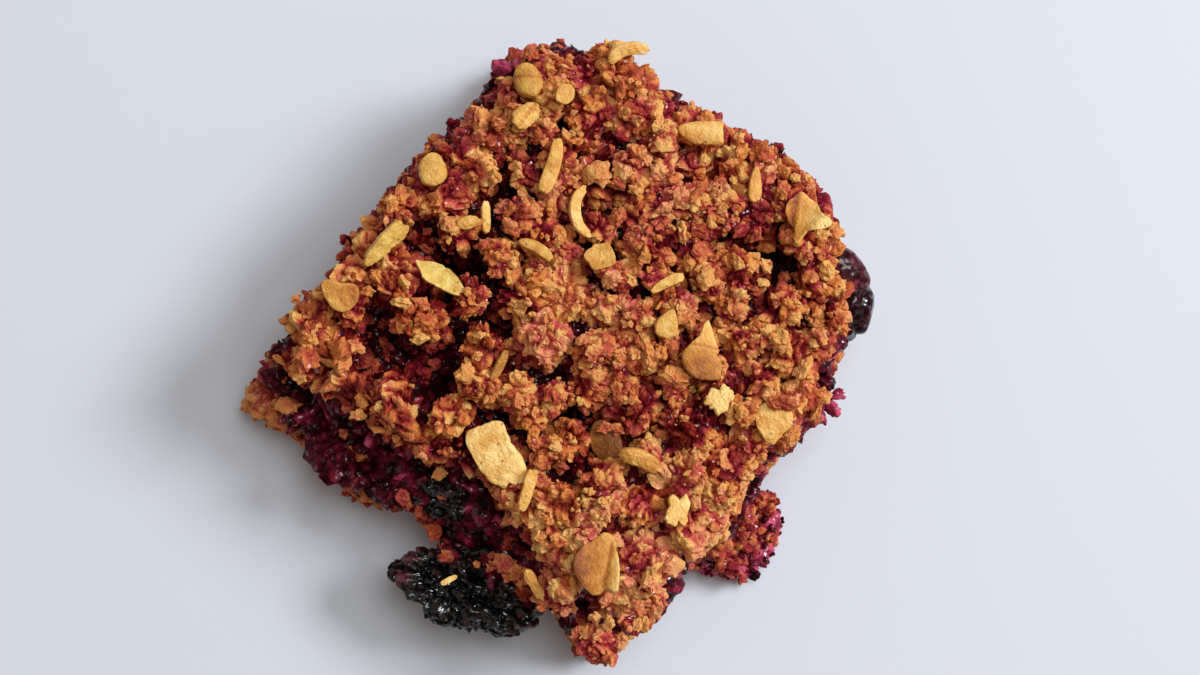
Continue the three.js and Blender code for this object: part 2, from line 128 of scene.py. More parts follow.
def cells_around(points, seed=0):
    """Each cell holds one spot. Gives the distance to the nearest and to the second, the nearest's own
    chance, and the way from it to the point."""
    low = np.floor(points)
    nearest = np.full(points.shape[:-1], np.inf)
    second = nearest.copy()
    own = np.zeros(points.shape[:-1])
    way = np.zeros(points.shape)
    for step in np.ndindex(3, 3, 3):
        cell = low + np.array(step) - 1
        spot = np.stack([chance(cell, seed + axis) for axis in (1, 2, 3)], axis=-1)
        from_spot = points - cell - spot
        away = np.linalg.norm(from_spot, axis=-1)
        second = np.where(away < nearest, nearest, np.minimum(second, away))
        own = np.where(away < nearest, chance(cell, seed + OWN_CHANCE), own)
        way = np.where((away < nearest)[..., None], from_spot, way)
        nearest = np.minimum(nearest, away)
    return nearest, second, own, way


def ramp(value, low, high):
    """From 0 at low to 1 at high, by an S-curve."""
    share = np.clip((value - low) / (high - low), 0, 1)
    return share * share * (3 - 2 * share)


print("noise at one point:", noise(np.array([[0.3, 1.7, 2.2]])).round(3))

# %% [markdown]
# ## From arrays to a mesh
#
# A shape arrives as an array of points and an array of triangles. `foreach_set` copies whole arrays into the
# mesh at once, which is far faster than adding vertices one by one. Each point can also carry numbers that
# the material reads later, such as how golden it is baked and how much juice has soaked in.

# %% Mesh maker
def make_piece(name, points, triangles, numbers, replaces, material, smooth=True):
    """A piece in metres from points in millimetres, riding on the square, with its numbers as attributes."""
    mesh = bpy.data.meshes.new(name)
    mesh.vertices.add(len(points))
    mesh.vertices.foreach_set("co", (points * MM).astype(np.float32).ravel())
    mesh.loops.add(triangles.size)
    mesh.loops.foreach_set("vertex_index", triangles.astype(np.int32).ravel())
    mesh.polygons.add(len(triangles))
    mesh.polygons.foreach_set("loop_start", np.arange(0, triangles.size, 3, dtype=np.int32))
    mesh.polygons.foreach_set("use_smooth", np.full(len(triangles), smooth))
    mesh.update(calc_edges=True)
    for key, values in numbers.items():
        attribute = mesh.attributes.new(key, "FLOAT", "POINT")
        attribute.data.foreach_set("value", np.broadcast_to(values, len(points)).astype(np.float32))
    mesh.materials.append(material)
    piece = bpy.data.objects.new(name, mesh)
    bpy.context.scene.collection.objects.link(piece)
    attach(piece, "root")
    if replaces:
        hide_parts(*replaces)
    print(f"{name}: {len(triangles)} triangles")
    return piece

# %% [markdown]
# ## The camera
#
# The square is looked at from almost straight above, a hand's breadth or two away, and turned on the table so
# that one corner points at the viewer. The view leans a little towards the front, where the filling shows.
# The camera is built from its own three directions: right, up and back.

# %% Camera
VIEW_TURN = math.radians(39)  # the picture's right, turned from +X
VIEW_LEAN = math.radians(5)  # off the vertical, towards the front
VIEW_DISTANCE = 0.30
VIEW_WIDTH = 0.162  # of what the picture takes in, at the height of the crumble's top
NEAREST_SEEN = 0.01
VIEW_MIDDLE = Vector((0.0021, 0.0013, box_of("crumble")[1][2] * MM))

camera = bpy.data.objects.new("camera", bpy.data.cameras.new("camera"))
bpy.context.scene.collection.objects.link(camera)
back = Vector((0, -math.sin(VIEW_LEAN), math.cos(VIEW_LEAN)))
right = Vector((math.cos(VIEW_TURN), math.sin(VIEW_TURN), 0))
right = (right - right.dot(back) * back).normalized()
camera.matrix_world = Matrix.Translation(VIEW_MIDDLE + VIEW_DISTANCE * back) @ Matrix(
    (right, back.cross(right), back)
).transposed().to_4x4()
camera.data.lens = camera.data.sensor_width * VIEW_DISTANCE / VIEW_WIDTH
camera.data.clip_start = NEAREST_SEEN
bpy.context.scene.camera = camera
print("lens:", round(camera.data.lens, 1), "mm")

# %% [markdown]
# ## Floor and light
#
# Crumble shows best in soft light from one side, which throws a wide pale shadow and leaves the gaps between
# clumps dark. A large lamp with cool daylight stands low on the picture's right and a weaker one hangs
# overhead. The sky is a room's warm light, which only fills the shadows.

# %% Floor and lamps
FLOOR_SIZE = 3.0
FLOOR_ROUGHNESS = 0.6
FLOOR_COLOUR = (0.54, 0.575, 0.65)
SKY_COLOUR = (1.0, 0.87, 0.75)
SKY_STRENGTH = 0.33
LAMPS = {  # turn from the picture's right and height in degrees, distance, width, power, colour
    "side_lamp": (20, 40, 2.0, 0.75, 41.0, (0.95, 0.97, 1.00)),
    "top_lamp": (50, 72, 2.0, 1.10, 16.0, (0.94, 0.98, 1.00)),
}

floor_mesh = bpy.data.meshes.new("floor")
floor_corners = [(x * FLOOR_SIZE / 2, y * FLOOR_SIZE / 2, 0) for x, y in ((-1, -1), (1, -1), (1, 1), (-1, 1))]
floor_mesh.from_pydata(floor_corners, [], [(0, 1, 2, 3)])
floor_finish = bpy.data.materials.new("floor")
floor_finish.use_nodes = True
floor_shader = floor_finish.node_tree.nodes["Principled BSDF"]
floor_shader.inputs["Base Color"].default_value = (*FLOOR_COLOUR, 1)
floor_shader.inputs["Roughness"].default_value = FLOOR_ROUGHNESS
floor_mesh.materials.append(floor_finish)
floor = bpy.data.objects.new("floor", floor_mesh)
bpy.context.scene.collection.objects.link(floor)

for name, (turn, height, distance, width, power, colour) in LAMPS.items():
    data = bpy.data.lights.new(name, "AREA")
    data.shape = "DISK"
    data.size = width
    data.energy = power
    data.color = colour
    light = bpy.data.objects.new(name, data)
    turn = VIEW_TURN + math.radians(turn)
    height = math.radians(height)
    towards = Vector((math.cos(turn) * math.cos(height), math.sin(turn) * math.cos(height), math.sin(height)))
    light.location = VIEW_MIDDLE + distance * towards
    light.rotation_euler = towards.to_track_quat("Z", "Y").to_euler()
    bpy.context.scene.collection.objects.link(light)

world = bpy.data.worlds.new("sky")
world.use_nodes = True
world.node_tree.nodes["Background"].inputs["Color"].default_value = (*SKY_COLOUR, 1)
world.node_tree.nodes["Background"].inputs["Strength"].default_value = SKY_STRENGTH
bpy.context.scene.world = world
bpy.context.scene.view_settings.view_transform = "Standard"
print("lamps:", list(LAMPS))

# %% [markdown]
# ## Shared recipes for the materials
#
# Baked crumb, fruit and nut differ, but two effects come back in all of them, so each is a node group. Fine
# grain is a height pattern of two sizes for a Bump node. Baked colour turns three numbers that each point
# carries into a colour: how golden it is baked, how far it stands out of its neighbours, and how much juice
# has soaked in. What stands out is more golden, partly as real browning, and what lies low is darker, as
# painted shade.

# %% Node helpers


def add_node(tree, kind, **settings):
    """A node of one kind. A setting whose name is a socket's sets that socket, and another sets the node."""
    made_node = tree.nodes.new(kind)
    for key, value in settings.items():
        if key in made_node.inputs:
            made_node.inputs[key].default_value = value
        else:
            setattr(made_node, key, value)
    return made_node


def number_of(tree, key):
    """The number that each point of a piece carries under this name."""
    return add_node(tree, "ShaderNodeAttribute", attribute_name=key).outputs["Fac"]


def sums(tree, operation, first, second, clamp=False):
    """One sum of two numbers, each a socket or a plain value."""
    maths = add_node(tree, "ShaderNodeMath", operation=operation, use_clamp=clamp)
    for place, value in zip(maths.inputs, (first, second)):
        if isinstance(value, (int, float)):
            place.default_value = value
        else:
            tree.links.new(value, place)
    return maths.outputs[0]


def colour_ramp(tree, value, stops):
    """A colour for each value, from stops of a value and a colour."""
    made_node = add_node(tree, "ShaderNodeValToRGB")
    elements = made_node.color_ramp.elements
    while len(elements) < len(stops):
        elements.new(0.5)
    for element, (place, colour) in zip(elements, stops):
        element.position = place
        element.color = (*colour, 1)
    tree.links.new(value, made_node.inputs[0])
    return made_node.outputs["Color"]


def mix_colours(tree, share, first, second, blend="MIX"):
    """Two colours mixed by a share. Each is a socket or a plain colour."""
    mix = add_node(tree, "ShaderNodeMix", data_type="RGBA", blend_type=blend)
    sockets = {s.identifier: s for s in mix.inputs}
    for key, value in (("Factor_Float", share), ("A_Color", first), ("B_Color", second)):
        if isinstance(value, (int, float)):
            sockets[key].default_value = value
        elif isinstance(value, tuple):
            sockets[key].default_value = (*value, 1)
        else:
            tree.links.new(value, sockets[key])
    return {s.identifier: s for s in mix.outputs}["Result_Color"]


def new_group(name, inputs, outputs):
    """An empty node group with its inputs and outputs, and the two nodes that stand for them."""
    tree = bpy.data.node_groups.new(name, "ShaderNodeTree")
    kinds = {"value": "NodeSocketFloat", "colour": "NodeSocketColor", "vector": "NodeSocketVector"}
    for key, kind in inputs:
        tree.interface.new_socket(name=key, in_out="INPUT", socket_type=kinds[kind])
    for key, kind in outputs:
        tree.interface.new_socket(name=key, in_out="OUTPUT", socket_type=kinds[kind])
    return tree, tree.nodes.new("NodeGroupInput"), tree.nodes.new("NodeGroupOutput")

# %% Fine grain
GRAIN_ROUGH = 0.65
CELL_SCALE = 1.7  # of the cells, next to the noise


def fine_grain_group():
    """Height from 0 to 1: noise with grains of one size, and cells with flat sides like crystals over it."""
    inputs = [("Scale", "value"), ("Cells", "value")]
    tree, given, result = new_group("fine grain", inputs, [("Height", "value")])
    place = add_node(tree, "ShaderNodeTexCoord").outputs["Object"]
    soft = add_node(tree, "ShaderNodeTexNoise", Detail=4.0, Roughness=GRAIN_ROUGH)
    sharp = add_node(tree, "ShaderNodeTexVoronoi", feature="F1", distance="CHEBYCHEV")
    tree.links.new(place, soft.inputs["Vector"])
    tree.links.new(place, sharp.inputs["Vector"])
    tree.links.new(given.outputs["Scale"], soft.inputs["Scale"])
    tree.links.new(sums(tree, "MULTIPLY", given.outputs["Scale"], CELL_SCALE), sharp.inputs["Scale"])
    cells = sums(tree, "MULTIPLY", sharp.outputs["Distance"], given.outputs["Cells"])
    tree.links.new(sums(tree, "ADD", soft.outputs["Fac"], cells), result.inputs["Height"])
    return tree

# %% Glints
def glints_group():
    """Where small wet facets shine, from 0 to 1: cells whose own chance is under the share."""
    inputs = [("Scale", "value"), ("Share", "value")]
    tree, given, result = new_group("wet glints", inputs, [("Weight", "value")])
    place = add_node(tree, "ShaderNodeTexCoord").outputs["Object"]
    cells = add_node(tree, "ShaderNodeTexVoronoi", feature="F1")
    tree.links.new(place, cells.inputs["Vector"])
    tree.links.new(given.outputs["Scale"], cells.inputs["Scale"])
    parted = add_node(tree, "ShaderNodeSeparateColor")
    tree.links.new(cells.outputs["Color"], parted.inputs["Color"])
    weight = sums(tree, "LESS_THAN", parted.outputs["Red"], given.outputs["Share"])
    tree.links.new(weight, result.inputs["Weight"])
    return tree

# %% Baked colour
BAKED = [  # from the darkest crumb, through red-brown, to gold and pale gold
    (0.00, (0.036, 0.001, 0.001)),
    (0.22, (0.165, 0.006, 0.005)),
    (0.46, (0.430, 0.092, 0.030)),
    (0.70, (0.635, 0.228, 0.060)),
    (1.00, (0.700, 0.380, 0.120)),
]
SOAKED = [  # the same, soaked with juice: from nearly black, through maroon, to pink
    (0.00, (0.016, 0.0004, 0.0012)),
    (0.25, (0.115, 0.0018, 0.0085)),
    (0.50, (0.330, 0.0220, 0.0380)),
    (0.75, (0.530, 0.0980, 0.0700)),
    (1.00, (0.700, 0.2300, 0.1350)),
]
SPECK_SCALE = 1900.0
PATCH_SCALE = 420.0
CRYSTAL_SCALE = 2300.0
MOTTLE = 0.16  # how much the specks change the tone
RISE_MIDDLE, RISE_GAIN = 0.50, 0.58  # what stands out is more golden, partly real browning; what lies low is darker, as painted shade
# How far the tone falls towards the edges of small crystal cells: painted shade between the grains.
CRACK_SHADE_EDGE, CRACK_SHADE_GAIN = 0.42, 0.08
PATCH_GAIN = 1.3
DRY_FROM, DRY_GAIN = 0.45, 1.30  # what stands out stays drier


def baked_colour_group():
    """Colour from how golden a point is, how far it stands out, and how much juice has soaked in.

    Golden plus specks, rise and the crack lines of small crystals pick the tone, and patches of juice pick the
    family. A low rise and the crack lines darken the tone as painted shade; a high rise lightens it, partly as
    real browning.
    """
    inputs = [("Golden", "value"), ("Rise", "value"), ("Juice", "value")]
    tree, given, result = new_group("baked colour", inputs, [("Colour", "colour"), ("Wet", "value")])
    place = add_node(tree, "ShaderNodeTexCoord").outputs["Object"]
    speck = add_node(tree, "ShaderNodeTexNoise", Scale=SPECK_SCALE, Detail=3.0, Roughness=0.7)
    patch = add_node(tree, "ShaderNodeTexNoise", Scale=PATCH_SCALE, Detail=1.5, Roughness=0.5)
    crystal = add_node(tree, "ShaderNodeTexVoronoi", Scale=CRYSTAL_SCALE, feature="F1")
    for pattern in (speck, patch, crystal):
        tree.links.new(place, pattern.inputs["Vector"])
    mottle = sums(tree, "MULTIPLY", sums(tree, "SUBTRACT", speck.outputs["Fac"], 0.5), MOTTLE)
    # A low rise darkens the tone as painted shade; a high rise lightens it, partly as real browning.
    risen = sums(tree, "MULTIPLY", sums(tree, "SUBTRACT", given.outputs["Rise"], RISE_MIDDLE), RISE_GAIN)
    # Darker towards the edges of small crystal cells: painted shade between the grains.
    crack_shade = sums(tree, "SUBTRACT", CRACK_SHADE_EDGE, crystal.outputs["Distance"])
    crack_shade = sums(tree, "MULTIPLY", crack_shade, CRACK_SHADE_GAIN)
    golden = sums(tree, "ADD", given.outputs["Golden"], sums(tree, "ADD", mottle, risen))
    golden = sums(tree, "ADD", golden, crack_shade)
    patches = sums(tree, "MULTIPLY", sums(tree, "SUBTRACT", patch.outputs["Fac"], 0.5), PATCH_GAIN)
    soaked = sums(tree, "ADD", given.outputs["Juice"], patches)
    dried = sums(tree, "MULTIPLY", sums(tree, "SUBTRACT", given.outputs["Rise"], DRY_FROM), DRY_GAIN)
    soaked = sums(tree, "SUBTRACT", soaked, dried, clamp=True)
    plain, juicy = colour_ramp(tree, golden, BAKED), colour_ramp(tree, golden, SOAKED)
    colour = mix_colours(tree, soaked, plain, juicy)
    tree.links.new(colour, result.inputs["Colour"])
    tree.links.new(soaked, result.inputs["Wet"])
    return tree


groups = {"grain": fine_grain_group(), "glints": glints_group(), "baked": baked_colour_group()}
print("node groups:", [g.name for g in groups.values()])

# %% [markdown]
# ## The materials
#
# Each material is one Principled shader. The groups feed its colour and its bump, and what is the same all
# over, such as how much light enters under the surface, is set on the shader itself. Crumb is rough with
# sugary glints. The set filling is wet, so it gets a coat. A baked berry is nearly black, with a few glints,
# painted light on its ridges and painted shade in its wrinkles. Nut is smooth and dull.

# %% Material maker


def place_group(tree, key, **values):
    """One of the shared groups, placed in a material with its own values."""
    made_node = tree.nodes.new("ShaderNodeGroup")
    made_node.node_tree = groups[key]
    for socket, value in values.items():
        made_node.inputs[socket].default_value = value
    return made_node


def new_material(name, **sockets):
    """A material with one Principled shader, whose sockets are set to plain values."""
    material = bpy.data.materials.new(name)
    material.use_nodes = True
    shader = material.node_tree.nodes["Principled BSDF"]
    for key, value in sockets.items():
        shader.inputs[key].default_value = value
    return material, material.node_tree, shader


def add_bump(tree, shader, height, distance, strength):
    """Feeds the shader's normal from a height."""
    bump = add_node(tree, "ShaderNodeBump", Strength=strength, Distance=distance)
    tree.links.new(height, bump.inputs["Height"])
    tree.links.new(bump.outputs["Normal"], shader.inputs["Normal"])

# %% Crumb material
def crumb_material(name, grain=1500.0, bump=0.00050):
    """Baked crumb: golden where it stands out and darker where it lies low, as painted shade; dark and wet
    where juice has soaked in, with a few glints.
    """
    material, tree, shader = new_material(
        name,
        **{
            "Specular IOR Level": 0.05,
            "Coat Roughness": 0.22,
            "Subsurface Weight": 0.16,
            "Subsurface Radius": (1.0, 0.25, 0.10),
            "Subsurface Scale": 0.0008,
        },
    )
    baked = place_group(tree, "baked")
    for socket, key in (("Golden", "golden"), ("Rise", "rise"), ("Juice", "juice")):
        tree.links.new(number_of(tree, key), baked.inputs[socket])
    tree.links.new(baked.outputs["Colour"], shader.inputs["Base Color"])
    grains = place_group(tree, "grain", Scale=grain, Cells=0.6)
    glints = place_group(tree, "glints", Scale=2600.0, Share=0.24)
    smooth = sums(tree, "MULTIPLY", glints.outputs["Weight"], -0.46)
    tree.links.new(sums(tree, "ADD", smooth, 0.66), shader.inputs["Roughness"])
    shine = sums(tree, "ADD", sums(tree, "MULTIPLY", baked.outputs["Wet"], 0.75), 0.12)
    tree.links.new(sums(tree, "MULTIPLY", glints.outputs["Weight"], shine), shader.inputs["Coat Weight"])
    add_bump(tree, shader, grains.outputs["Height"], bump, 0.8)
    return material


crumb_finish = crumb_material("baked crumb")

# %% Filling material
FRUIT = [  # from painted shade between lumps of fruit to painted light on their raised, thin edges
    (0.00, (0.004, 0.0003, 0.0006)),
    (0.35, (0.040, 0.0015, 0.0040)),
    (0.70, (0.175, 0.0095, 0.0260)),
    (1.00, (0.480, 0.0640, 0.1350)),
]


def fruit_material(name, stops, grain, bump, roughness, shine, gloss=0.05):
    """Set fruit: a deep colour, lighter where it stands out as painted light and darker between lumps as
    painted shade, with wet glints. Shine is their share.
    """
    material, tree, shader = new_material(
        name,
        **{
            "Roughness": roughness,
            "Specular IOR Level": gloss,
            "Coat Roughness": 0.14,
            "Subsurface Weight": 0.12,
            "Subsurface Radius": (1.0, 0.10, 0.18),
            "Subsurface Scale": 0.0010,
        },
    )
    place = add_node(tree, "ShaderNodeTexCoord").outputs["Object"]
    patch = add_node(tree, "ShaderNodeTexNoise", Scale=480.0, Detail=4.0, Roughness=0.6)
    tree.links.new(place, patch.inputs["Vector"])
    patches = sums(tree, "MULTIPLY", sums(tree, "SUBTRACT", patch.outputs["Fac"], 0.5), 2.0)
    bright = sums(tree, "ADD", number_of(tree, "rise"), patches)
    tree.links.new(colour_ramp(tree, bright, stops), shader.inputs["Base Color"])
    glints = place_group(tree, "glints", Scale=1700.0, Share=shine)
    tree.links.new(glints.outputs["Weight"], shader.inputs["Coat Weight"])
    grains = place_group(tree, "grain", Scale=grain, Cells=0.5)
    add_bump(tree, shader, grains.outputs["Height"], bump, 0.7)
    return material


BERRY = [  # from painted shade in the wrinkles to painted light on the ridges of a dry, black skin
    (0.00, (0.0008, 0.0004, 0.0004)),
    (0.55, (0.0022, 0.0012, 0.0012)),
    (0.80, (0.0130, 0.0042, 0.0048)),
    (1.00, (0.0900, 0.0210, 0.0260)),
]
PLUM = [  # from painted shade in the folds to painted light on the ridges of a soft, glossy skin
    (0.00, (0.006, 0.001, 0.002)),
    (0.50, (0.020, 0.003, 0.005)),
    (0.80, (0.060, 0.010, 0.014)),
    (1.00, (0.160, 0.030, 0.040)),
]
filling_finish = fruit_material("set filling", FRUIT, grain=1500.0, bump=0.00022, roughness=0.30, shine=0.22)
berry_finish = fruit_material(
    "baked berry skin", BERRY, grain=1500.0, bump=0.00034, roughness=0.50, shine=0.66, gloss=0.08
)
plum_finish = fruit_material(
    "glossy berry skin", PLUM, grain=1300.0, bump=0.00010, roughness=0.20, shine=0.40
)

# %% Nut material
NUT = [  # from dark toasted, through golden, to pale
    (0.00, (0.190, 0.048, 0.008)),
    (0.35, (0.460, 0.168, 0.028)),
    (0.70, (0.690, 0.360, 0.085)),
    (1.00, (0.840, 0.590, 0.220)),
]
OLIVE = (0.82, 0.98, 0.85)  # multiplies the colour of a raw, greenish flake
SPECK_BROWN = (0.16, 0.045, 0.012)


def nut_material():
    """Toasted nut: golden, with soft mottling and a few brown specks, lighter on its bumps and darker in its
    creases, as painted light and shade.
    """
    material, tree, shader = new_material(
        "toasted nut",
        **{
            "Roughness": 0.36,
            "Specular IOR Level": 0.22,
            "Subsurface Weight": 0.12,
            "Subsurface Radius": (1.0, 0.5, 0.2),
            "Subsurface Scale": 0.0006,
        },
    )
    place = add_node(tree, "ShaderNodeTexCoord").outputs["Object"]
    mottle = add_node(tree, "ShaderNodeTexNoise", Scale=420.0, Detail=5.0, Roughness=0.62)
    dots = add_node(tree, "ShaderNodeTexVoronoi", Scale=560.0)
    tree.links.new(place, mottle.inputs["Vector"])
    tree.links.new(place, dots.inputs["Vector"])
    tone = sums(tree, "MULTIPLY", sums(tree, "SUBTRACT", mottle.outputs["Fac"], 0.5), 1.0)
    tone = sums(tree, "ADD", tone, number_of(tree, "golden"))
    # Bumps lighter and creases darker: painted light and shade.
    risen = sums(tree, "MULTIPLY", sums(tree, "SUBTRACT", number_of(tree, "rise"), 0.5), 0.5)
    tone = sums(tree, "ADD", tone, risen)
    plain = colour_ramp(tree, tone, NUT)
    raw = number_of(tree, "olive")
    plain = mix_colours(tree, raw, plain, mix_colours(tree, 1.0, plain, OLIVE, "MULTIPLY"))
    specks = colour_ramp(tree, dots.outputs["Distance"], [(0.07, (1, 1, 1)), (0.14, (0, 0, 0))])
    specked = mix_colours(tree, sums(tree, "MULTIPLY", specks, 0.7), plain, SPECK_BROWN)
    tree.links.new(specked, shader.inputs["Base Color"])
    grains = place_group(tree, "grain", Scale=1500.0, Cells=0.5)
    add_bump(tree, shader, grains.outputs["Height"], 0.00028, 0.7)
    return material


nut_finish = nut_material()
print("materials:", [m.name for m in bpy.data.materials if m.users])

# %% [markdown]
# ## Two nets
#
# Every surface here is a function of two parameters on a square net. For a ball the net is folded: its middle
# is the top, its corners all meet at the bottom, and its sides are sewn to each other in pairs, so the ball
# is closed and its meshes are even in size. For a slab one net lies on top, another below, and rows between
# their edges make the wall.

# %% Ball net


def grid_triangles(index):
    """Two triangles for each mesh of a square net. The cut runs towards the net's middle."""
    a, b, c, d = index[:-1, :-1], index[1:, :-1], index[1:, 1:], index[:-1, 1:]
    count = index.shape[0] - 1
    half = np.arange(count) < count / 2
    same = half[:, None] == half[None, :]
    along = np.stack([np.stack([a, b, d], -1), np.stack([b, c, d], -1)], -2)
    across = np.stack([np.stack([a, b, c], -1), np.stack([a, c, d], -1)], -2)
    return np.where(same[..., None, None], along, across).reshape(-1, 3)


def ball_net(count):
    """Directions and triangles: a square net from -1 to 1, folded round an octahedron and blown up."""
    line = np.linspace(-1, 1, count + 1)
    s, t = np.meshgrid(line, line, indexing="ij")
    height = 1 - np.abs(s) - np.abs(t)
    x = np.where(height < 0, (1 - np.abs(t)) * np.where(s < 0, -1, 1), s)
    y = np.where(height < 0, (1 - np.abs(s)) * np.where(t < 0, -1, 1), t)
    folded = np.stack([x, y, height], -1).reshape(-1, 3).round(6) + 0.0
    sewn, index = np.unique(folded, axis=0, return_inverse=True)
    triangles = grid_triangles(index.reshape(count + 1, count + 1))
    a, b, c = triangles.T
    triangles = triangles[(a != b) & (b != c) & (a != c)]
    return sewn / np.linalg.norm(sewn, axis=1, keepdims=True), triangles


def turned(points, turn=0.0, lean=0.0, roll=0.0):
    """Points rolled about X, then leaned about Y, then turned about Z, in degrees."""
    rotation = Matrix.Rotation(math.radians(turn), 3, "Z") @ Matrix.Rotation(math.radians(lean), 3, "Y")
    rotation = rotation @ Matrix.Rotation(math.radians(roll), 3, "X")
    return points @ np.array(rotation).T


print("a ball net of 8 meshes:", len(ball_net(8)[0]), "points")

# %% Slab net
EDGE_LENGTH = 5.5  # of the roughness along an outline


def round_edge(left, right, front, back, corners, dents, rough, seed):
    """A rounded rectangle as a function: the distance from the middle to the edge in each direction.

    Each quarter is a straight-sided corner with its own radius, from the back right one anticlockwise. Noise
    and dents (x, y, width, push) move the edge in and out.
    """
    middle = np.array([(left + right) / 2, (front + back) / 2])
    half_x, half_y = (right - left) / 2, (back - front) / 2

    def edge_at(angle):
        """The distance from the middle to the edge in each direction."""
        way = np.stack([np.cos(angle), np.sin(angle)], -1)
        flat = (np.array([half_x, half_y]) / np.maximum(np.abs(way), 1e-9)).min(-1)
        quarter = (np.floor(angle / (math.pi / 2)) % 4).astype(int)
        radius = np.array(corners)[quarter]
        centre = np.stack([half_x - radius, half_y - radius], -1)
        facing = np.abs(way)
        along = (centre * facing).sum(-1)
        inside = along**2 - (centre**2).sum(-1) + radius**2
        rounded = along + np.sqrt(np.maximum(inside, 0))
        hit = facing * flat[..., None]
        reach = np.where((hit > centre).all(-1), rounded, flat)
        place = middle + reach[..., None] * way
        flat_place = np.concatenate([place, np.full((*place.shape[:-1], 1), float(seed))], -1)
        reach = reach + rough * rough_noise(flat_place / EDGE_LENGTH, 3, seed)
        for x, y, width, out in dents:
            reach = reach + out * np.exp(-((place[..., 0] - x) ** 2 + (place[..., 1] - y) ** 2) / width**2)
        return reach

    return middle, edge_at


def slab(middle, edge_at, count, rows, shape):
    """A closed slab. The net's edge lies on the outline, and shape moves points that come with their part.

    shape(x, y, inward, rise) gives x, y, z: inward is 1 in the middle and 0 at the edge, and rise is 0 below,
    1 on top and between on the wall.
    """
    line = np.linspace(-1, 1, count + 1)
    s, t = np.meshgrid(line, line, indexing="ij")
    ring = np.maximum(np.abs(s), np.abs(t))
    angle = np.arctan2(t, s) % (2 * math.pi)
    reach = edge_at(angle) * ring
    x, y = middle[0] + reach * np.cos(angle), middle[1] + reach * np.sin(angle)
    lid = np.stack(shape(x, y, 1 - ring, np.ones_like(x)), -1).reshape(-1, 3)
    base = np.stack(shape(x, y, 1 - ring, np.zeros_like(x)), -1).reshape(-1, 3)
    index = np.arange((count + 1) ** 2).reshape(count + 1, count + 1)
    rim = np.concatenate([index[:-1, 0], index[-1, :-1], index[:0:-1, -1], index[0, :0:-1]])
    rises = np.linspace(0, 1, rows + 1)[1:-1, None] * np.ones(len(rim))
    across = np.zeros_like(rises)
    rim_x, rim_y = x.ravel()[rim] + across, y.ravel()[rim] + across
    wall = np.stack(shape(rim_x, rim_y, across, rises), -1).reshape(-1, 3)
    points = np.concatenate([base, lid, wall])
    lid_start, wall_start = len(base), 2 * len(base)
    ring_rows = np.concatenate([
        rim[None], wall_start + np.arange(len(wall)).reshape(rows - 1, -1), lid_start + rim[None]
    ])
    low, high = ring_rows[:-1], ring_rows[1:]
    low_next, high_next = np.roll(low, -1, 1), np.roll(high, -1, 1)
    lower_halves = np.stack([low, low_next, high_next], -1).reshape(-1, 3)
    upper_halves = np.stack([low, high_next, high], -1).reshape(-1, 3)
    sides = np.concatenate([lower_halves, upper_halves])
    net = grid_triangles(index)
    return points, np.concatenate([net[:, ::-1], net + lid_start, sides])


def facing_of(points, triangles):
    """Each point's outward direction: the sum of its triangles' normals, made one unit long."""
    corners = points[triangles]
    normals = np.cross(corners[:, 1] - corners[:, 0], corners[:, 2] - corners[:, 0])
    total = np.zeros_like(points)
    for corner in range(3):
        for axis in range(3):
            total[:, axis] += np.bincount(triangles[:, corner], normals[:, axis], len(points))
    return total / np.maximum(np.linalg.norm(total, axis=1, keepdims=True), 1e-12)

# %% [markdown]
# ## Two reliefs
#
# Fruit packs as soft round lumps. Crumb breaks into blocks: each has its own height and its own tilt, and a
# crack parts it from the next. Both are worked out from the cells of the noise, at any point in space.

# %% Reliefs
LUMP_WIDTH = 0.85  # of a lump's dome, in cells
LUMP_CREASE = 0.35
BLOCK_BEND = 0.46  # how far the blocks' sides are bent, in cells
BEND_SCALE, BEND_APART = 0.9, 17.0  # of the bending noise, and how far apart its three axes are read
BLOCK_TILT = 0.55
BLOCK_CRACK = 0.24


def packed_lumps(points, width, seed):
    """Soft lumps side by side: 1 on top of each, 0 in the crease between two, and each one's own chance."""
    nearest, second, own, _ = cells_around(points / width, seed)
    dome = 1 - np.clip(nearest / LUMP_WIDTH, 0, 1) ** 2
    crease = np.clip((second - nearest) / LUMP_CREASE, 0, 1)
    return dome * (0.35 + 0.65 * crease), own


def broken_blocks(points, width, seed):
    """Blocks side by side, from about 0 to 1: own height + tilt x distance along it, low in the cracks."""
    places = points / width
    bends = [rough_noise(places * BEND_SCALE + BEND_APART * axis, 2, seed + 3 * axis) for axis in (1, 2, 3)]
    bend = np.stack(bends, -1)
    nearest, second, own, way = cells_around(places + BLOCK_BEND * bend, seed)
    turn = 2 * math.pi * (own * 61.0 % 1)
    lean = 2 * (own * 17.0 % 1) - 1
    level = np.sqrt(1 - lean**2)
    tilt = way[..., 0] * level * np.cos(turn) + way[..., 1] * level * np.sin(turn) + way[..., 2] * lean
    crack = np.clip((second - nearest) / BLOCK_CRACK, 0, 1)
    return np.clip(0.40 + 0.45 * own + BLOCK_TILT * tilt, 0, 1.3) * (0.12 + 0.88 * crack), own

# %% [markdown]
# ## Balls cut by planes
#
# A crumb is a broken bit, so it's neither a ball nor a block. It is worked out as a ball that a few planes at
# random cut down: in each direction the nearest plane gives the radius, and the corners between planes are
# softened a little.

# %% Cut balls
CUT_SOFTNESS = 12.0  # higher is sharper
CUT_NEAREST, CUT_SPAN = 0.55, 0.42


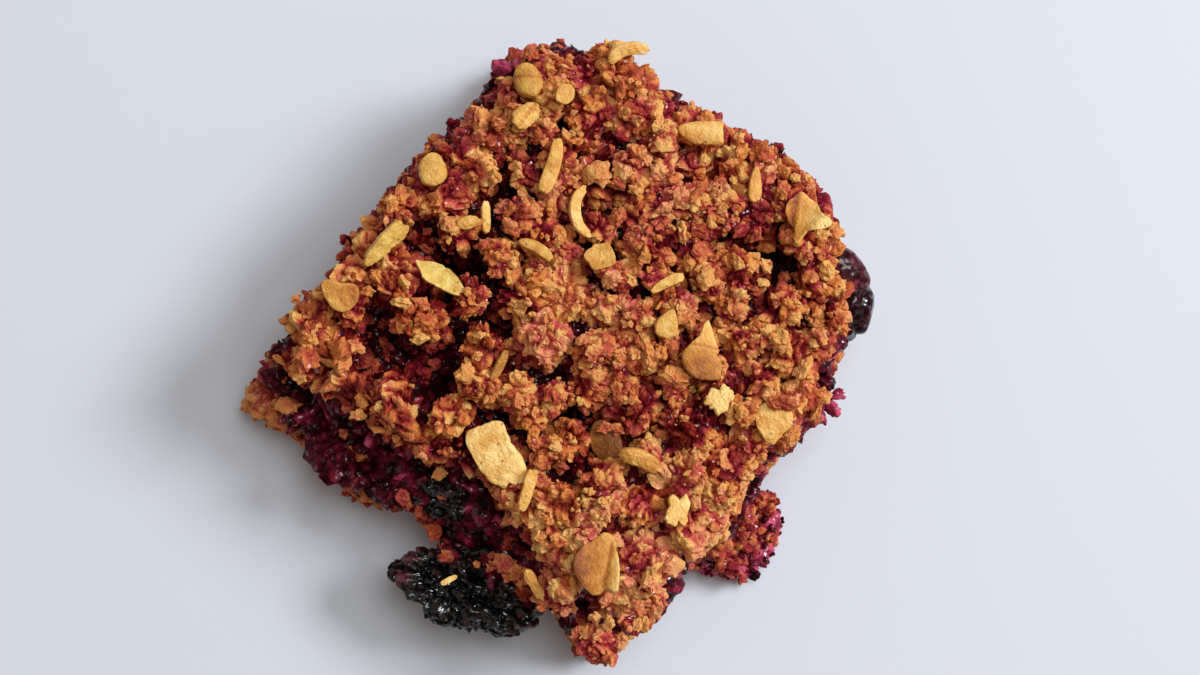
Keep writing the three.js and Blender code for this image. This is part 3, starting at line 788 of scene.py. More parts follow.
def cut_radius(directions, shapes, planes, seed):
    """Radius in each direction: (1 + sum over planes of (facing / distance)^softness)^(-1 / softness)."""
    cell = np.stack([*np.meshgrid(np.arange(shapes), np.arange(planes), indexing="ij")], -1)
    cell = np.concatenate([cell, cell[..., :1] + 1], -1)
    turn = 2 * math.pi * chance(cell, seed)
    lean = 2 * chance(cell, seed + 1) - 1
    level = np.sqrt(1 - lean**2)
    normals = np.stack([level * np.cos(turn), level * np.sin(turn), lean], -1)
    distance = CUT_NEAREST + CUT_SPAN * chance(cell, seed + 2)
    facing = np.maximum(np.einsum("pk,snk->spn", directions, normals), 0) / distance[:, None]
    return ((facing**CUT_SOFTNESS).sum(-1) + 1) ** (-1 / CUT_SOFTNESS)


print("a cut ball's radius:", cut_radius(ball_net(4)[0], 1, 8, 3).round(2)[0, :4])

# %% [markdown]
# ## The crust
#
# The crust is crumb pressed flat in the tin and cut with a knife. Its wall broke rather than sliced, so
# crumbs stand out of it, and its underside is smoother and browner, where it lay on the tin. It is a slab
# whose outline is a rounded square, and broken blocks of two sizes push its surface in and out.

# %% Crust
CRUST_COUNT = 176
CRUST_ROWS = 22
CRUST_BLOCK, CRUST_CRUMB, CRUST_GRAIN = 2.4, 1.0, 0.5  # widths of its blocks, crumbs and grains
SIDE_X = 32.0  # half the square's width
FRONT_Y, BACK_Y = -35.5, 34.0
SEAM_WAVE, SEAM_LENGTH = 0.8, 26.0
surfaces = {}  # points and facings of the layers, for what is scattered on them later


def seam(x, y, height, seed):
    """Height of the seam between two layers: level, with a slow wave."""
    flat = np.stack([x / SEAM_LENGTH, y / SEAM_LENGTH, np.full_like(x, 0.5)], -1)
    return height + SEAM_WAVE * noise(flat, seed)


def pushed_out(x, y, middle, out):
    """Moves points away from the middle of the square, level."""
    away = np.stack([x - middle[0], y - middle[1]], -1)
    length = np.maximum(np.linalg.norm(away, axis=-1), 1e-9)
    return x + out * away[..., 0] / length, y + out * away[..., 1] / length


crust_top = box_of("crust")[1][2] - 0.5
crust_middle, crust_edge = round_edge(
    -SIDE_X, SIDE_X, FRONT_Y, BACK_Y,
    corners=(15, 9, 3, 6),
    dents=[
        (-29, -35, 4, 0.8), (-22, -37, 5, -0.8), (-11, -36, 5, 0.8), (-2, -36, 5, -3.8), (14, -36, 6, -2.6),
        (23.5, -35, 5, -6.2), (-32, 4, 6, 0.9), (-32, -6, 6, 0.9), (-32, -18, 6, 0.5), (-32, 15, 6, 0.5),
        (32, -18, 6, -1.5), (31, -33, 4, -0.8), (27, 27, 8, -1.6),
    ],
    rough=0.5, seed=11,
)


def crust_shape(x, y, inward, rise):
    """The crust under its seam: a wall that bulges, on a foot that is set in a little."""
    top = seam(x, y, crust_top, 21)
    z = rise * top
    bulge = np.where(inward > 0, 0, 0.9 * np.sin(math.pi * np.clip(rise, 0, 1)))
    foot = np.where((inward == 0) & (rise < 0.1), -0.4, 0)
    x, y = pushed_out(x, y, crust_middle, bulge + foot)
    return x, y, z


points, triangles = slab(crust_middle, crust_edge, CRUST_COUNT, CRUST_ROWS, crust_shape)
facing = facing_of(points, triangles)
large, own = broken_blocks(points, CRUST_BLOCK, 31)
small, own_small = broken_blocks(points, CRUST_CRUMB, 32)
relief = 1.1 * (large - 0.5) + 0.5 * (small - 0.5) + 0.14 * rough_noise(points / CRUST_GRAIN, 2, 33)
underside = np.clip(-facing[:, 2], 0, 1) ** 2
points += facing * (relief * np.where(facing[:, 2] < -0.5, 0.25, 1.0))[:, None]
points[:, 2] = np.maximum(points[:, 2], 0)
patch = rough_noise(points / 7.0, 2, 34)
seep = ramp(points[:, 2], 5.0, 8.5) * (0.55 + 0.5 * patch)
# Rise from the blocks: low in the seams between them, as painted shade, and high where they stand out, partly
# as real browning.
make_piece(
    "crust_crumb", points, triangles,
    {
        "golden": 0.61 + 0.24 * (own - 0.5) + 0.12 * (own_small - 0.5) + 0.10 * patch - 0.16 * underside,
        "rise": 0.55 * large + 0.45 * small,
        "juice": np.clip(seep, 0, 1) * (1 - underside),
    },
    ["crust"], crumb_finish,
)
surfaces["crust"] = (points, facing_of(points, triangles))

# %% [markdown]
# ## The filling
#
# Fruit set with sugar holds its lumps but has no crisp edges. The filling is a slab too, with wide blocks of
# fruit and small round drupelets over them. In front it slopes down where the crumble has fallen away, so
# its wet surface shows there.

# %% Filling
FILLING_COUNT = 170
FILLING_ROWS = 22
CRUMBLE_FRONT = -27.0
SLOPE = 8.5  # width of the open slope
FRUIT_BLOCK, DRUPELET, FRUIT_GRAIN = 4.0, 1.7, 0.6  # widths of its blocks, drupelets and grains
SLOPE_DROP = 4.6

filling_low = crust_top + 0.2
filling_top = box_of("filling")[1][2] - 0.6
filling_middle, filling_edge = round_edge(
    -SIDE_X + 1, SIDE_X - 1, FRONT_Y + 1, BACK_Y - 0.5,
    corners=(16, 9, 4, 6),
    dents=[
        (-29, -34, 4, -3.4), (-22, -36, 4, -2.2), (-2, -36, 5, -3.8), (23.5, -34, 5, -6.2),
        (31, -32, 4, -1.6), (31, 14, 4, 0.8), (-28, 29, 4, -1.2), (-23, 33, 3, -1.6), (28, 26, 6, -2.0),
    ],
    rough=0.8, seed=12,
)


def filling_shape(x, y, inward, rise):
    """The filling between two seams: a lumpy bulging wall, and a top that drops away in front."""
    low = seam(x, y, filling_low, 21)
    open_share = ramp(CRUMBLE_FRONT + 2.5 - y, 0, SLOPE)
    swell = 1.5 * rough_noise(np.stack([x / 5.5, y / 5.5, np.full_like(x, 4.5)], -1), 2, 41)
    high = seam(x, y, filling_top, 22) - open_share * (SLOPE_DROP - swell)
    z = low + rise * (high - low)
    wall = np.stack([x / 4.2, y / 4.2, z / 3.2], -1)
    bulge = np.where(inward > 0, 0, np.sin(math.pi * rise) * (0.7 + 1.0 * noise(wall, 42)))
    x, y = pushed_out(x, y, filling_middle, bulge)
    return x, y, z


points, triangles = slab(filling_middle, filling_edge, FILLING_COUNT, FILLING_ROWS, filling_shape)
facing = facing_of(points, triangles)
large, own = broken_blocks(points, FRUIT_BLOCK, 43)
small, own_small = packed_lumps(points, DRUPELET, 44)
relief = 2.2 * (large - 0.5) + 0.8 * (small - 0.5) + 0.16 * rough_noise(points / FRUIT_GRAIN, 2, 45)
points += facing * (relief * np.where(facing[:, 2] < -0.5, 0.0, 1.0))[:, None]
points[:, 2] = np.maximum(points[:, 2], filling_low - 0.6)
# Rise: high on raised fruit and low between lumps, for painted light and shade, with some tone at random.
make_piece(
    "berry_filling", points, triangles,
    {"rise": np.clip(0.50 * large + 0.30 * small + 0.40 * (own - 0.5), 0, 1)},
    ["filling"], filling_finish,
)
surfaces["filling"] = (points, facing_of(points, triangles))

# %% [markdown]
# ## The heap's clumps
#
# Crumble clumps together in lumps of half a centimetre or so, larger and further apart at the left, finer
# and closer at the right. The clumps that make this square's pattern are a table of measured places: a small
# helper, kept apart from this script, turned them into millimetres, and some were moved by hand afterwards.
# The rest fill the room between them: a sequence that spreads points evenly offers places, and one is taken
# if it isn't in a pit or in another clump.

# %% Clump places
NAMED_CLUMPS = [  # x, y, radius, golden, juice: measured places, in millimetres
    (-24.5, -22.5, 3.9, 0.58, 0.10), (-29.0, -22.0, 2.3, 0.66, 0.05), (-14.0, -22.8, 4.3, 0.54, 0.20),
    (-6.5, -14.0, 3.3, 0.55, 0.10), (-7.0, -19.0, 3.1, 0.60, 0.20), (-6.0, -23.0, 2.6, 0.58, 0.40),
    (-23.5, -10.5, 3.6, 0.66, 0.25), (-18.0, -11.8, 2.8, 0.48, 0.10), (-26.0, 4.0, 4.0, 0.66, 0.55),
    (-25.5, 8.8, 2.9, 0.68, 0.10), (-9.0, -9.0, 3.1, 0.46, 0.15), (-3.5, -3.8, 4.0, 0.82, 0.66),
    (-4.5, 4.0, 3.8, 0.82, 0.05), (-9.5, -1.5, 2.8, 0.50, 0.45), (-13.0, 7.0, 3.1, 0.55, 0.55),
    (-18.3, 30.8, 4.1, 0.72, 0.05), (-17.5, 25.0, 3.2, 0.60, 0.30), (-13.0, 28.5, 3.0, 0.64, 0.45),
    (-2.0, 28.0, 3.8, 0.64, 0.25), (1.5, 31.0, 3.0, 0.60, 0.30), (8.5, 28.0, 2.7, 0.42, 0.60),
    (0.0, 14.5, 3.0, 0.46, 0.35), (5.0, 19.0, 3.0, 0.56, 0.45), (11.0, 20.5, 3.5, 0.62, 0.35),
    (19.0, 20.5, 3.0, 0.52, 0.35), (9.0, 5.0, 2.8, 0.58, 0.30), (5.0, 2.0, 2.7, 0.66, 0.20),
    (17.5, 13.5, 3.1, 0.62, 0.25), (24.0, 16.5, 3.2, 0.62, 0.10), (21.3, 27.4, 2.5, 0.52, -0.30),
    (11.5, -2.0, 3.5, 0.56, 0.25), (19.5, -0.5, 4.0, 0.50, 0.50), (26.0, -0.5, 3.7, 0.60, 0.20),
    (12.0, -19.5, 3.3, 0.70, 0.05), (14.5, -14.0, 3.2, 0.60, 0.15), (13.0, -23.6, 3.4, 0.74, 0.10),
    (21.0, -12.0, 3.0, 0.50, 0.30), (27.0, -10.0, 3.5, 0.68, 0.42), (25.0, -18.5, 4.0, 0.66, 0.62),
    (28.8, -21.5, 2.7, 0.68, 0.62), (27.3, -30.8, 2.4, 0.60, 0.80), (-27.0, 15.5, 3.0, 0.52, 0.25),
    (-18.0, 17.5, 2.8, 0.52, 0.50), (-11.5, 18.0, 3.2, 0.48, 0.50), (-6.5, 20.5, 3.0, 0.50, 0.45),
    (23.5, 10.5, 3.0, 0.56, 0.30), (29.3, 13.5, 2.7, 0.62, 0.20), (7.5, -10.5, 2.2, 0.50, 0.15),
    (5.0, -4.5, 2.7, 0.56, 0.20), (-2.0, -11.0, 2.0, 0.70, 0.05), (1.5, -13.3, 2.0, 0.68, 0.05),
    (-27.5, -16.3, 2.2, 0.60, 0.10), (-27.5, -9.0, 2.5, 0.56, 0.15), (-21.5, 0.2, 2.5, 0.50, 0.20),
    (-27.0, -26.6, 2.1, 0.56, 0.20), (-20.0, 33.0, 2.4, 0.70, 0.10), (19.0, -29.0, 2.4, 0.64, 0.80),
    (31.0, -25.4, 1.8, 0.62, 0.55),
]
PITS = [  # x, y, radius: left open to the bottom, where the crumb gets painted shade
    (-21.2, -3.0, 2.6), (-17.6, -3.2, 1.9), (-13.0, -8.0, 2.2), (-12.4, -12.6, 2.0), (-26.7, 11.6, 1.6),
    (-5.8, 10.6, 1.8), (15.2, 25.8, 2.0), (12.8, -9.0, 2.2), (6.3, -7.3, 1.5), (23.2, -27.0, 2.9),
    (-17.0, -17.6, 1.7), (-10.4, -17.6, 1.5), (2.6, 9.6, 1.6), (-1.0, -25.5, 3.0), (3.2, -27.5, 3.4),
    (-20.6, 21.6, 1.6), (9.6, 13.0, 1.4), (0.8, 20.6, 1.3), (9.6, -17.0, 1.6), (4.6, -10.6, 1.4),
    (4.9, -13.8, 1.2), (-1.5, -15.4, 1.6), (-23.0, -15.8, 1.6), (-9.4, -5.6, 1.4), (-0.7, -3.4, 1.3),
    (-0.4, 7.4, 1.1), (-7.4, 6.6, 1.1), (1.0, 2.8, 1.1), (-6.0, 0.2, 1.1),
]
STEP_X, STEP_Y = 0.7548776662466927, 0.5698402909980532
OFFERED = 700
FILL_SMALLEST, FILL_LARGEST = 1.7, 3.3
CLOSENESS = 0.70  # how near two clumps may come, as a share of their radii together
HEAP_BELOW = 0.9  # mean depth of the clumps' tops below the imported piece's top
HEAP_SWELL, HEAP_LENGTH = 0.7, 15
EDGE_DROP, EDGE_FROM, EDGE_TO = 3.6, 0.74, 1.06  # by share of the way to the edge
FRONT_DROP = 1.6

crumble_low = filling_top
crumble_high = box_of("crumble")[1][2]
crumble_middle, crumble_edge = round_edge(
    -SIDE_X + 0.8, SIDE_X - 0.8, CRUMBLE_FRONT + 0.2, BACK_Y + 0.2,
    corners=(16, 11, 5, 7),
    dents=[
        (-19.5, 33, 4, 1.4), (-28, 30, 5, -2.2), (-6, 35, 6, 0.9), (2, 35, 7, 2.7), (11, 35, 6, 2.9),
        (19, 34, 3, 0.1), (24, 28, 7, -4.4), (-24, 31, 4, -1.4), (-32, 4, 6, 1.6), (-32, -7, 7, 1.6),
        (-32, -18, 6, 0.5), (30, 20, 5, -2.4), (31, 3, 4, -1.2), (3, -27, 6, -4.5), (27.5, -30, 5, 1.9),
        (31.5, -20, 5, -2.6), (15, -27, 4, -1.8), (19.0, -27.5, 3, 1.6), (23.3, -27.8, 2.5, -3.2),
        (-29, -24, 5, 1.2), (-14, -27, 4, 0.8),
    ],
    rough=0.8, seed=13,
)


def share_out(x, y):
    """How far a place lies from the crumble's middle, as a share of the way to its edge."""
    away = np.stack([x - crumble_middle[0], y - crumble_middle[1]], -1)
    angle = np.arctan2(away[..., 1], away[..., 0]) % (2 * math.pi)
    return np.linalg.norm(away, axis=-1) / crumble_edge(angle)


def heap_top(x, y):
    """Height that the clumps' tops reach: nearly level, lower round the edge and towards the open front."""
    swell = HEAP_SWELL * noise(np.stack([x / HEAP_LENGTH, y / HEAP_LENGTH, np.full_like(x, 8.5)], -1), 51)
    edge = EDGE_DROP * ramp(share_out(x, y), EDGE_FROM, EDGE_TO)
    front = FRONT_DROP * ramp(-y, 12.0, 30.0) * ramp(-x, -8.0, 12.0)
    return crumble_high - HEAP_BELOW + swell - edge - front


def in_pit(x, y, grow=1.0):
    """Whether a place lies in a pit whose radius is made larger or smaller."""
    return any(math.hypot(x - px, y - py) < radius * grow for px, py, radius in PITS)

# %% Tones of the heap
# Soft round spots: x, y, width and strength.
GOLDEN_SPOTS = [  # more golden, or less where the strength is below 0
    (-3.7, 8.4, 5, 0.28), (-2.0, 1.0, 6, 0.20), (23, -6, 6, 0.08), (26, 13, 6, 0.08), (13, -22, 7, 0.10),
    (21, -18, 9, 0.28), (27, -24, 6, 0.18), (8, 22, 7, 0.03), (18, 18, 8, 0.05), (-22, -20, 9, 0.06),
    (-8, 18, 8, -0.08), (18, -3, 5, -0.08), (-14, -10, 5, -0.06), (-16, 28, 8, -0.06), (-6, 26, 7, 0.17),
    (28, -12, 9, 0.32), (-3, 5, 7, 0.10), (23, 10, 8, 0.10),
]
JUICY_SPOTS = [  # juicier, or drier where the strength is below 0
    (-20, -14, 13, -0.30), (28, -12, 9, 0.04), (24, 10, 8, -0.08), (-8, 18, 9, 0.30), (0, 24, 8, 0.16),
    (-26, 4, 5, 0.22), (16, -3, 6, 0.16), (26, -22, 9, 0.42), (-5, -24, 6, 0.20), (9, 27, 6, 0.20),
    (-24, -19, 8, -0.25), (-13, -14, 9, -0.15), (12, -20, 6, -0.10),
]
OPEN_SPOTS = [  # open, with deep gaps between the clumps
    (-20, -10, 9, 1.0), (-12, -12, 7, 1.0), (-24, 9, 5, 0.7), (-4, -20, 7, 0.8), (5, -9, 4, 0.6),
    (-16, -20, 6, 0.7), (-6, 11, 4, 0.5), (14, 26, 4, 0.6), (12, -9, 4, 0.6), (-20, -20, 8, 1.0),
    (23, -27, 4, 0.7),
]
PACKED_SPOTS = [  # packed with fine crumb, so that the painted shade starts lower, or higher below 0
    (25, -17, 10, 1.2), (24, 9, 9, 0.6), (-2, 26, 7, 0.5), (-2, 4, 8, -0.7), (-14, 24, 9, -0.8),
]
MEAN_GOLDEN, GOLDEN_CHANGE, GOLDEN_LENGTH = 0.64, 0.12, 4
MEAN_JUICE, JUICE_CHANGE, JUICE_LENGTH = 0.50, 0.32, 3.5
OPEN_DARKENS = 0.14


def spread(x, y, spots):
    """Sum of soft round spots, each with a width and a strength."""
    return sum(
        strength * np.exp(-((x - sx) ** 2 + (y - sy) ** 2) / width**2) for sx, sy, width, strength in spots
    )


def sparse(x, y):
    """Where the heap is open, with deep gaps between its clumps: from 0 to 1."""
    return np.clip(spread(x, y, OPEN_SPOTS), 0, 1)


def golden_field(x, y):
    """How golden the crumble is baked: a mean, less where it is open, plus its spots and smooth noise."""
    change = noise(np.stack([x / GOLDEN_LENGTH, y / GOLDEN_LENGTH, np.full_like(x, 1.5)], -1), 52)
    spots = spread(x, y, GOLDEN_SPOTS)
    return MEAN_GOLDEN - OPEN_DARKENS * sparse(x, y) + spots + GOLDEN_CHANGE * change


def juice_field(x, y):
    """How much juice has soaked in: a mean, plus its spots and smooth noise."""
    change = noise(np.stack([x / JUICE_LENGTH, y / JUICE_LENGTH, np.full_like(x, 2.5)], -1), 53)
    return MEAN_JUICE + spread(x, y, JUICY_SPOTS) + JUICE_CHANGE * change

# %% All the clumps
OPEN_ROOM = 0.62  # how much further apart clumps stay where the heap is open
NEAREST_EDGE = 0.85  # how far a clump stays inside the outline, as a share of its radius
PIT_MARGIN = 1.25

clumps = [list(c) for c in NAMED_CLUMPS]
for n in range(OFFERED):
    x = (SIDE_X + 2) * 2 * ((n * STEP_X + 0.5) % 1 - 0.5)
    y = crumble_middle[1] + (BACK_Y - CRUMBLE_FRONT + 4) * ((n * STEP_Y + 0.5) % 1 - 0.5)
    draw = chance(np.array([n, 5, 1]), 54)
    radius = FILL_SMALLEST + (FILL_LARGEST - FILL_SMALLEST) * draw * draw
    reach = share_out(np.array(x), np.array(y))
    if reach > 1 or (1 - reach) * SIDE_X < radius * NEAREST_EDGE or in_pit(x, y, PIT_MARGIN):
        continue
    room = CLOSENESS + OPEN_ROOM * min(spread(x, y, OPEN_SPOTS), 1)
    if all(math.hypot(x - c[0], y - c[1]) > room * (radius + c[2]) for c in clumps):
        place = np.array(x), np.array(y)
        golden = float(golden_field(*place)) + 0.14 * (chance(np.array([n, 6, 1]), 55) - 0.5)
        juice = float(juice_field(*place)) + 0.45 * (chance(np.array([n, 7, 1]), 56) - 0.5)
        clumps.append([x, y, radius, golden, juice])
clumps = np.array(clumps)
tops = heap_top(clumps[:, 0], clumps[:, 1]) + 0.9 * (chance(np.round(clumps[:, :3] * 10), 57) - 0.5)
clump_middles = np.stack([clumps[:, 0], clumps[:, 1], np.minimum(tops, crumble_high) - clumps[:, 2]], -1)
print("clumps:", len(clumps), "of which named:", len(NAMED_CLUMPS))

# %% [markdown]
# ## Rows of clumps round the side
#
# Seen from the side the heap is as lumpy as on top. Three rows of smaller clumps run round its wall, each
# clump's centre a little inside the outline.

# %% Side clumps
SIDE_STEP = 4.4
SIDE_ROWS = [(0.9, 0.0), (3.6, 0.5), (6.0, 0.2)]  # height above the filling, and shift along in steps


def side_clumps():
    """Middles, radii, golden and juice of the clumps round the wall."""
    found = []
    angles = np.linspace(0, 2 * math.pi, 721)[:-1]
    reach = crumble_edge(angles)
    x, y = crumble_middle[0] + reach * np.cos(angles), crumble_middle[1] + reach * np.sin(angles)
    steps = np.hypot(np.diff(x, append=x[0]), np.diff(y, append=y[0]))
    length = np.concatenate([[0], np.cumsum(steps)])
    count = int(length[-1] / SIDE_STEP)
    for row, (height, shift) in enumerate(SIDE_ROWS):
        for k in range(count):
            cell = np.array([k, row, 3])
            along = (k + shift + 0.5 * (chance(cell, 61) - 0.5)) / count % 1 * length[-1]
            angle = float(np.interp(along, length, np.append(angles, 2 * math.pi)))
            radius = 1.7 + 1.3 * float(chance(cell, 62))
            inset = radius * (0.95 + 0.15 * row)
            out = float(crumble_edge(np.array(angle))) - inset
            px, py = crumble_middle[0] + out * math.cos(angle), crumble_middle[1] + out * math.sin(angle)
            if in_pit(px, py):
                continue
            pz = crumble_low + height + 0.9 * (float(chance(cell, 63)) - 0.5)
            pz = min(pz, float(heap_top(np.array(px), np.array(py))) - radius)
            place = np.array(px), np.array(py)
            golden = float(golden_field(*place)) - 0.14 + 0.20 * (float(chance(cell, 64)) - 0.5) + 0.04 * row
            juice = float(juice_field(*place)) + 0.05 - 0.14 * row + 0.4 * (float(chance(cell, 65)) - 0.5)
            found.append([px, py, pz, radius, golden, juice])
    return np.array(found)


wall_clumps = side_clumps()
print("clumps round the wall:", len(wall_clumps))

# %% [markdown]
# ## A clump's surface
#
# A clump is a ball cut by planes, and broken blocks of two sizes stand on it for the crumbs that it is made
# of, with grain over them. The blocks are read at the point's own place in the square, so two clumps that
# touch share the same crumbs and look fused.

# %% Clump surfaces
LARGE_NET, SMALL_NET, WALL_NET = 42, 34, 22
CRUMB_WIDTH = 2.1
FINE_WIDTH = 0.72
GRAIN_WIDTH = 0.42
WARP, WARP_WIDTH = 1.0, 2.4  # how far clumps are bent out of shape, and over what length
CUT_PLANES = 12
TOP_LIMIT = crumble_high + 0.35


def joined(pieces, triangles):
    """Many closed shapes with the same net, as one array of points and one of triangles."""
    step = pieces.shape[1] * np.arange(pieces.shape[0])[:, None, None]
    return pieces.reshape(-1, 3), (triangles[None] + step).reshape(-1, 3)


def held_in(points, top):
    """Points kept below a height, softly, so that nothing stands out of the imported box."""
    over = np.maximum(points[:, 2] - top, 0)
    points[:, 2] -= over - 0.4 * (1 - np.exp(-over / 0.4))
    return points


def deep_in_heap(points):
    """From 0 at the heap's top to 1 well down in its gaps, where the crumb gets painted shade and more juice.
    The painted shade starts lower where crumb fills the gaps.
    """
    x, y = points[..., 0], points[..., 1]
    packed = 1 - sparse(x, y)
    start = 0.9 * packed + 2.0 * spread(x, y, PACKED_SPOTS)
    return ramp(heap_top(x, y) - points[..., 2] - start, 1.0, 5.0 + 1.6 * packed)


def clump_surfaces(middles, radii, golden, juice, count, seed):
    """All clumps as one array: middle + radius x cut radius x direction, then blocks and grain outwards."""
    directions, triangles = ball_net(count)
    cut = cut_radius(directions, len(middles), CUT_PLANES, seed)
    swell = noise(directions[None] * 1.6 + np.arange(len(middles))[:, None, None] * 7.3, seed + 5)
    points = middles[:, None] + (radii[:, None] * cut * (0.98 + 0.14 * swell))[..., None] * directions[None]
    points = points + WARP * np.stack([noise(points / WARP_WIDTH + 9.0 * axis, 75) for axis in (1, 2, 3)], -1)
    large, own = broken_blocks(points, CRUMB_WIDTH, 71)
    small, own_small = packed_lumps(points, FINE_WIDTH, 72)
    grain = rough_noise(points / GRAIN_WIDTH, 2, 73)
    out = 1.30 * large + 0.50 * small + 0.16 * grain - 0.25
    points = points + out[..., None] * directions[None]
    # Deep in the heap the tone and rise fall, as painted shade, and juice is added. Rise is low between blocks,
    # as painted shade, and high where they stand out, partly as real browning.
    deep = deep_in_heap(points)
    rise = 0.12 + 0.75 * ramp(large, 0.10, 0.95) + 0.22 * (small - 0.4) + 0.05 * grain
    numbers = {
        "golden": golden[:, None] + 0.46 * (own - 0.5) + 0.06 * (own_small - 0.5) - 0.20 * deep,
        "rise": np.clip(rise, 0, 1) * (1 - 0.5 * deep),
        "juice": np.clip(juice[:, None] + 0.50 * deep + 1.10 * (own * 7 % 1 - 0.5), 0, 1),
    }
    return *joined(points, triangles), {key: value.ravel() for key, value in numbers.items()}


large = clumps[:, 2] >= np.median(clumps[:, 2])
left = clumps[:, 0] < np.median(clumps[large, 0])
heap_points, heap_facing = [], []
for name, count, middles, radii, golden, juice, replaced in (
    ("left_clumps", LARGE_NET, clump_middles[large & left], *clumps[large & left, 2:].T, ["crumble"]),
    ("right_clumps", LARGE_NET, clump_middles[large & ~left], *clumps[large & ~left, 2:].T, []),
    ("small_clumps", SMALL_NET, clump_middles[~large], *clumps[~large, 2:].T, []),
    ("wall_clumps", WALL_NET, wall_clumps[:, :3], *wall_clumps[:, 3:].T, []),
):
    points, triangles, numbers = clump_surfaces(middles, radii, golden, juice, count, 74 + count)
    points[:, 2] = np.maximum(held_in(points, TOP_LIMIT)[:, 2], filling_low)
    make_piece(name, points, triangles, numbers, replaced, crumb_finish, smooth=False)
    heap_points.append(points)
    heap_facing.append(facing_of(points, triangles))

# %% [markdown]
# ## The core of the heap
#
# Between the clumps the eye falls on finer crumb, soaked with juice, and darker deep down, as painted shade.
# A slab of it lies under them, so that no gap shows through to the filling, with pits where the real heap is
# open.

# %% Core
CORE_COUNT = 150
CORE_ROWS = 8
CORE_DEPTH = 3.4  # below the clumps' tops
CORE_BLOCK, CORE_CRUMB = 1.8, 0.8  # widths of its blocks and crumbs
PIT_DEPTH = 2.6


def core_shape(x, y, inward, rise):
    """Fine crumb from the filling's seam up to a depth below the clumps' tops, lower in pits."""
    low = seam(x, y, crumble_low, 22) - 0.6
    pit = sum(PIT_DEPTH * np.exp(-((x - px) ** 2 + (y - py) ** 2) / radius**2) for px, py, radius in PITS)
    high = np.maximum(heap_top(x, y) - CORE_DEPTH - pit - 3.2 * sparse(x, y), low + 0.6)
    shoulder = np.sqrt(1 - (1 - np.clip(inward * 6, 0, 1)) ** 2)
    z = low + rise * (high - low) * (0.5 + 0.5 * shoulder)
    x, y = pushed_out(x, y, crumble_middle, np.full_like(x, -1.6))
    return x, y, z


points, triangles = slab(crumble_middle, crumble_edge, CORE_COUNT, CORE_ROWS, core_shape)
facing = facing_of(points, triangles)
large, own = broken_blocks(points, CORE_BLOCK, 81)
small, own_small = broken_blocks(points, CORE_CRUMB, 82)
relief = 1.5 * (large - 0.4) + 0.6 * (small - 0.5)
points += facing * (relief * np.where(facing[:, 2] < -0.5, 0.0, 1.0))[:, None]
# Its tone falls deep in the heap, as painted shade. Its rise is low in the seams between blocks, for painted
# shade there.
make_piece(
    "heap_core", points, triangles,
    {
        "golden": 0.34 + 0.30 * (own - 0.5) + 0.20 * (own_small - 0.5) - 0.34 * deep_in_heap(points),
        "rise": 0.5 * large + 0.3 * small,
        "juice": np.clip(0.70 + 0.40 * (own_small - 0.5), 0, 1),
    },
    [], crumb_finish,
)
core_start = sum(len(p) for p in heap_points)
heap_points.append(points)
heap_facing.append(facing_of(points, triangles))
heap_points, heap_facing = np.concatenate(heap_points), np.concatenate(heap_facing)

# %% [markdown]
# ## A map of the heap's height
#
# What lies on the heap has to rest on it. The map is a square net over the whole piece, and each of its cells
# keeps the height of the highest point that falls into it.

# %% Height map
MAP_CELL = 0.7
MAP_REACH = 48.0
MAP_CELLS = int(2 * MAP_REACH / MAP_CELL)


def map_cells(places):
    """Row and column of the map's cell under each place."""
    cell = np.clip(((places[..., :2] + MAP_REACH) / MAP_CELL).astype(int), 0, MAP_CELLS - 1)
    return cell[..., 0], cell[..., 1]


def height_map(points):
    """Highest point in each cell of a net over the square."""
    highest = np.zeros((MAP_CELLS, MAP_CELLS))
    np.maximum.at(highest, map_cells(points), points[:, 2])
    return highest


def height_at(x, y):
    """Height of the heap, the filling or the crust at a place, by the map."""
    return heights[map_cells(np.stack([x, y], -1))]


heights = height_map(np.concatenate([heap_points, surfaces["crust"][0], surfaces["filling"][0]]))
print("heap's mean height:", height_at(*np.meshgrid(np.arange(-25, 26), np.arange(-20, 30))).mean().round(2))

# %% [markdown]
# ## Flakes of nut
#
# The nuts were chopped and toasted, so the flakes are thin, with rounded broken edges: slabs, slivers, split
# halves and curled skins. A flake is a ball pressed flat. The outline of a plain one is a rounded rectangle
# that tapers and has dents of its own. Ten of the larger ones broke in their own ways, so theirs is measured:
# the distance from the flake's middle to its edge in 11 to 21 directions. Many of the places come from the
# same helper as the clumps'. Then the sheet is bent, cupped or curled. Each is worked out lying flat, turned,
# and lowered on the map until a part of it has sunk in.

# %% Flake shapes
FLAKE_NET = 44
EDGE_ROUND = 0.24  # lower gives a flatter face and a rounder edge


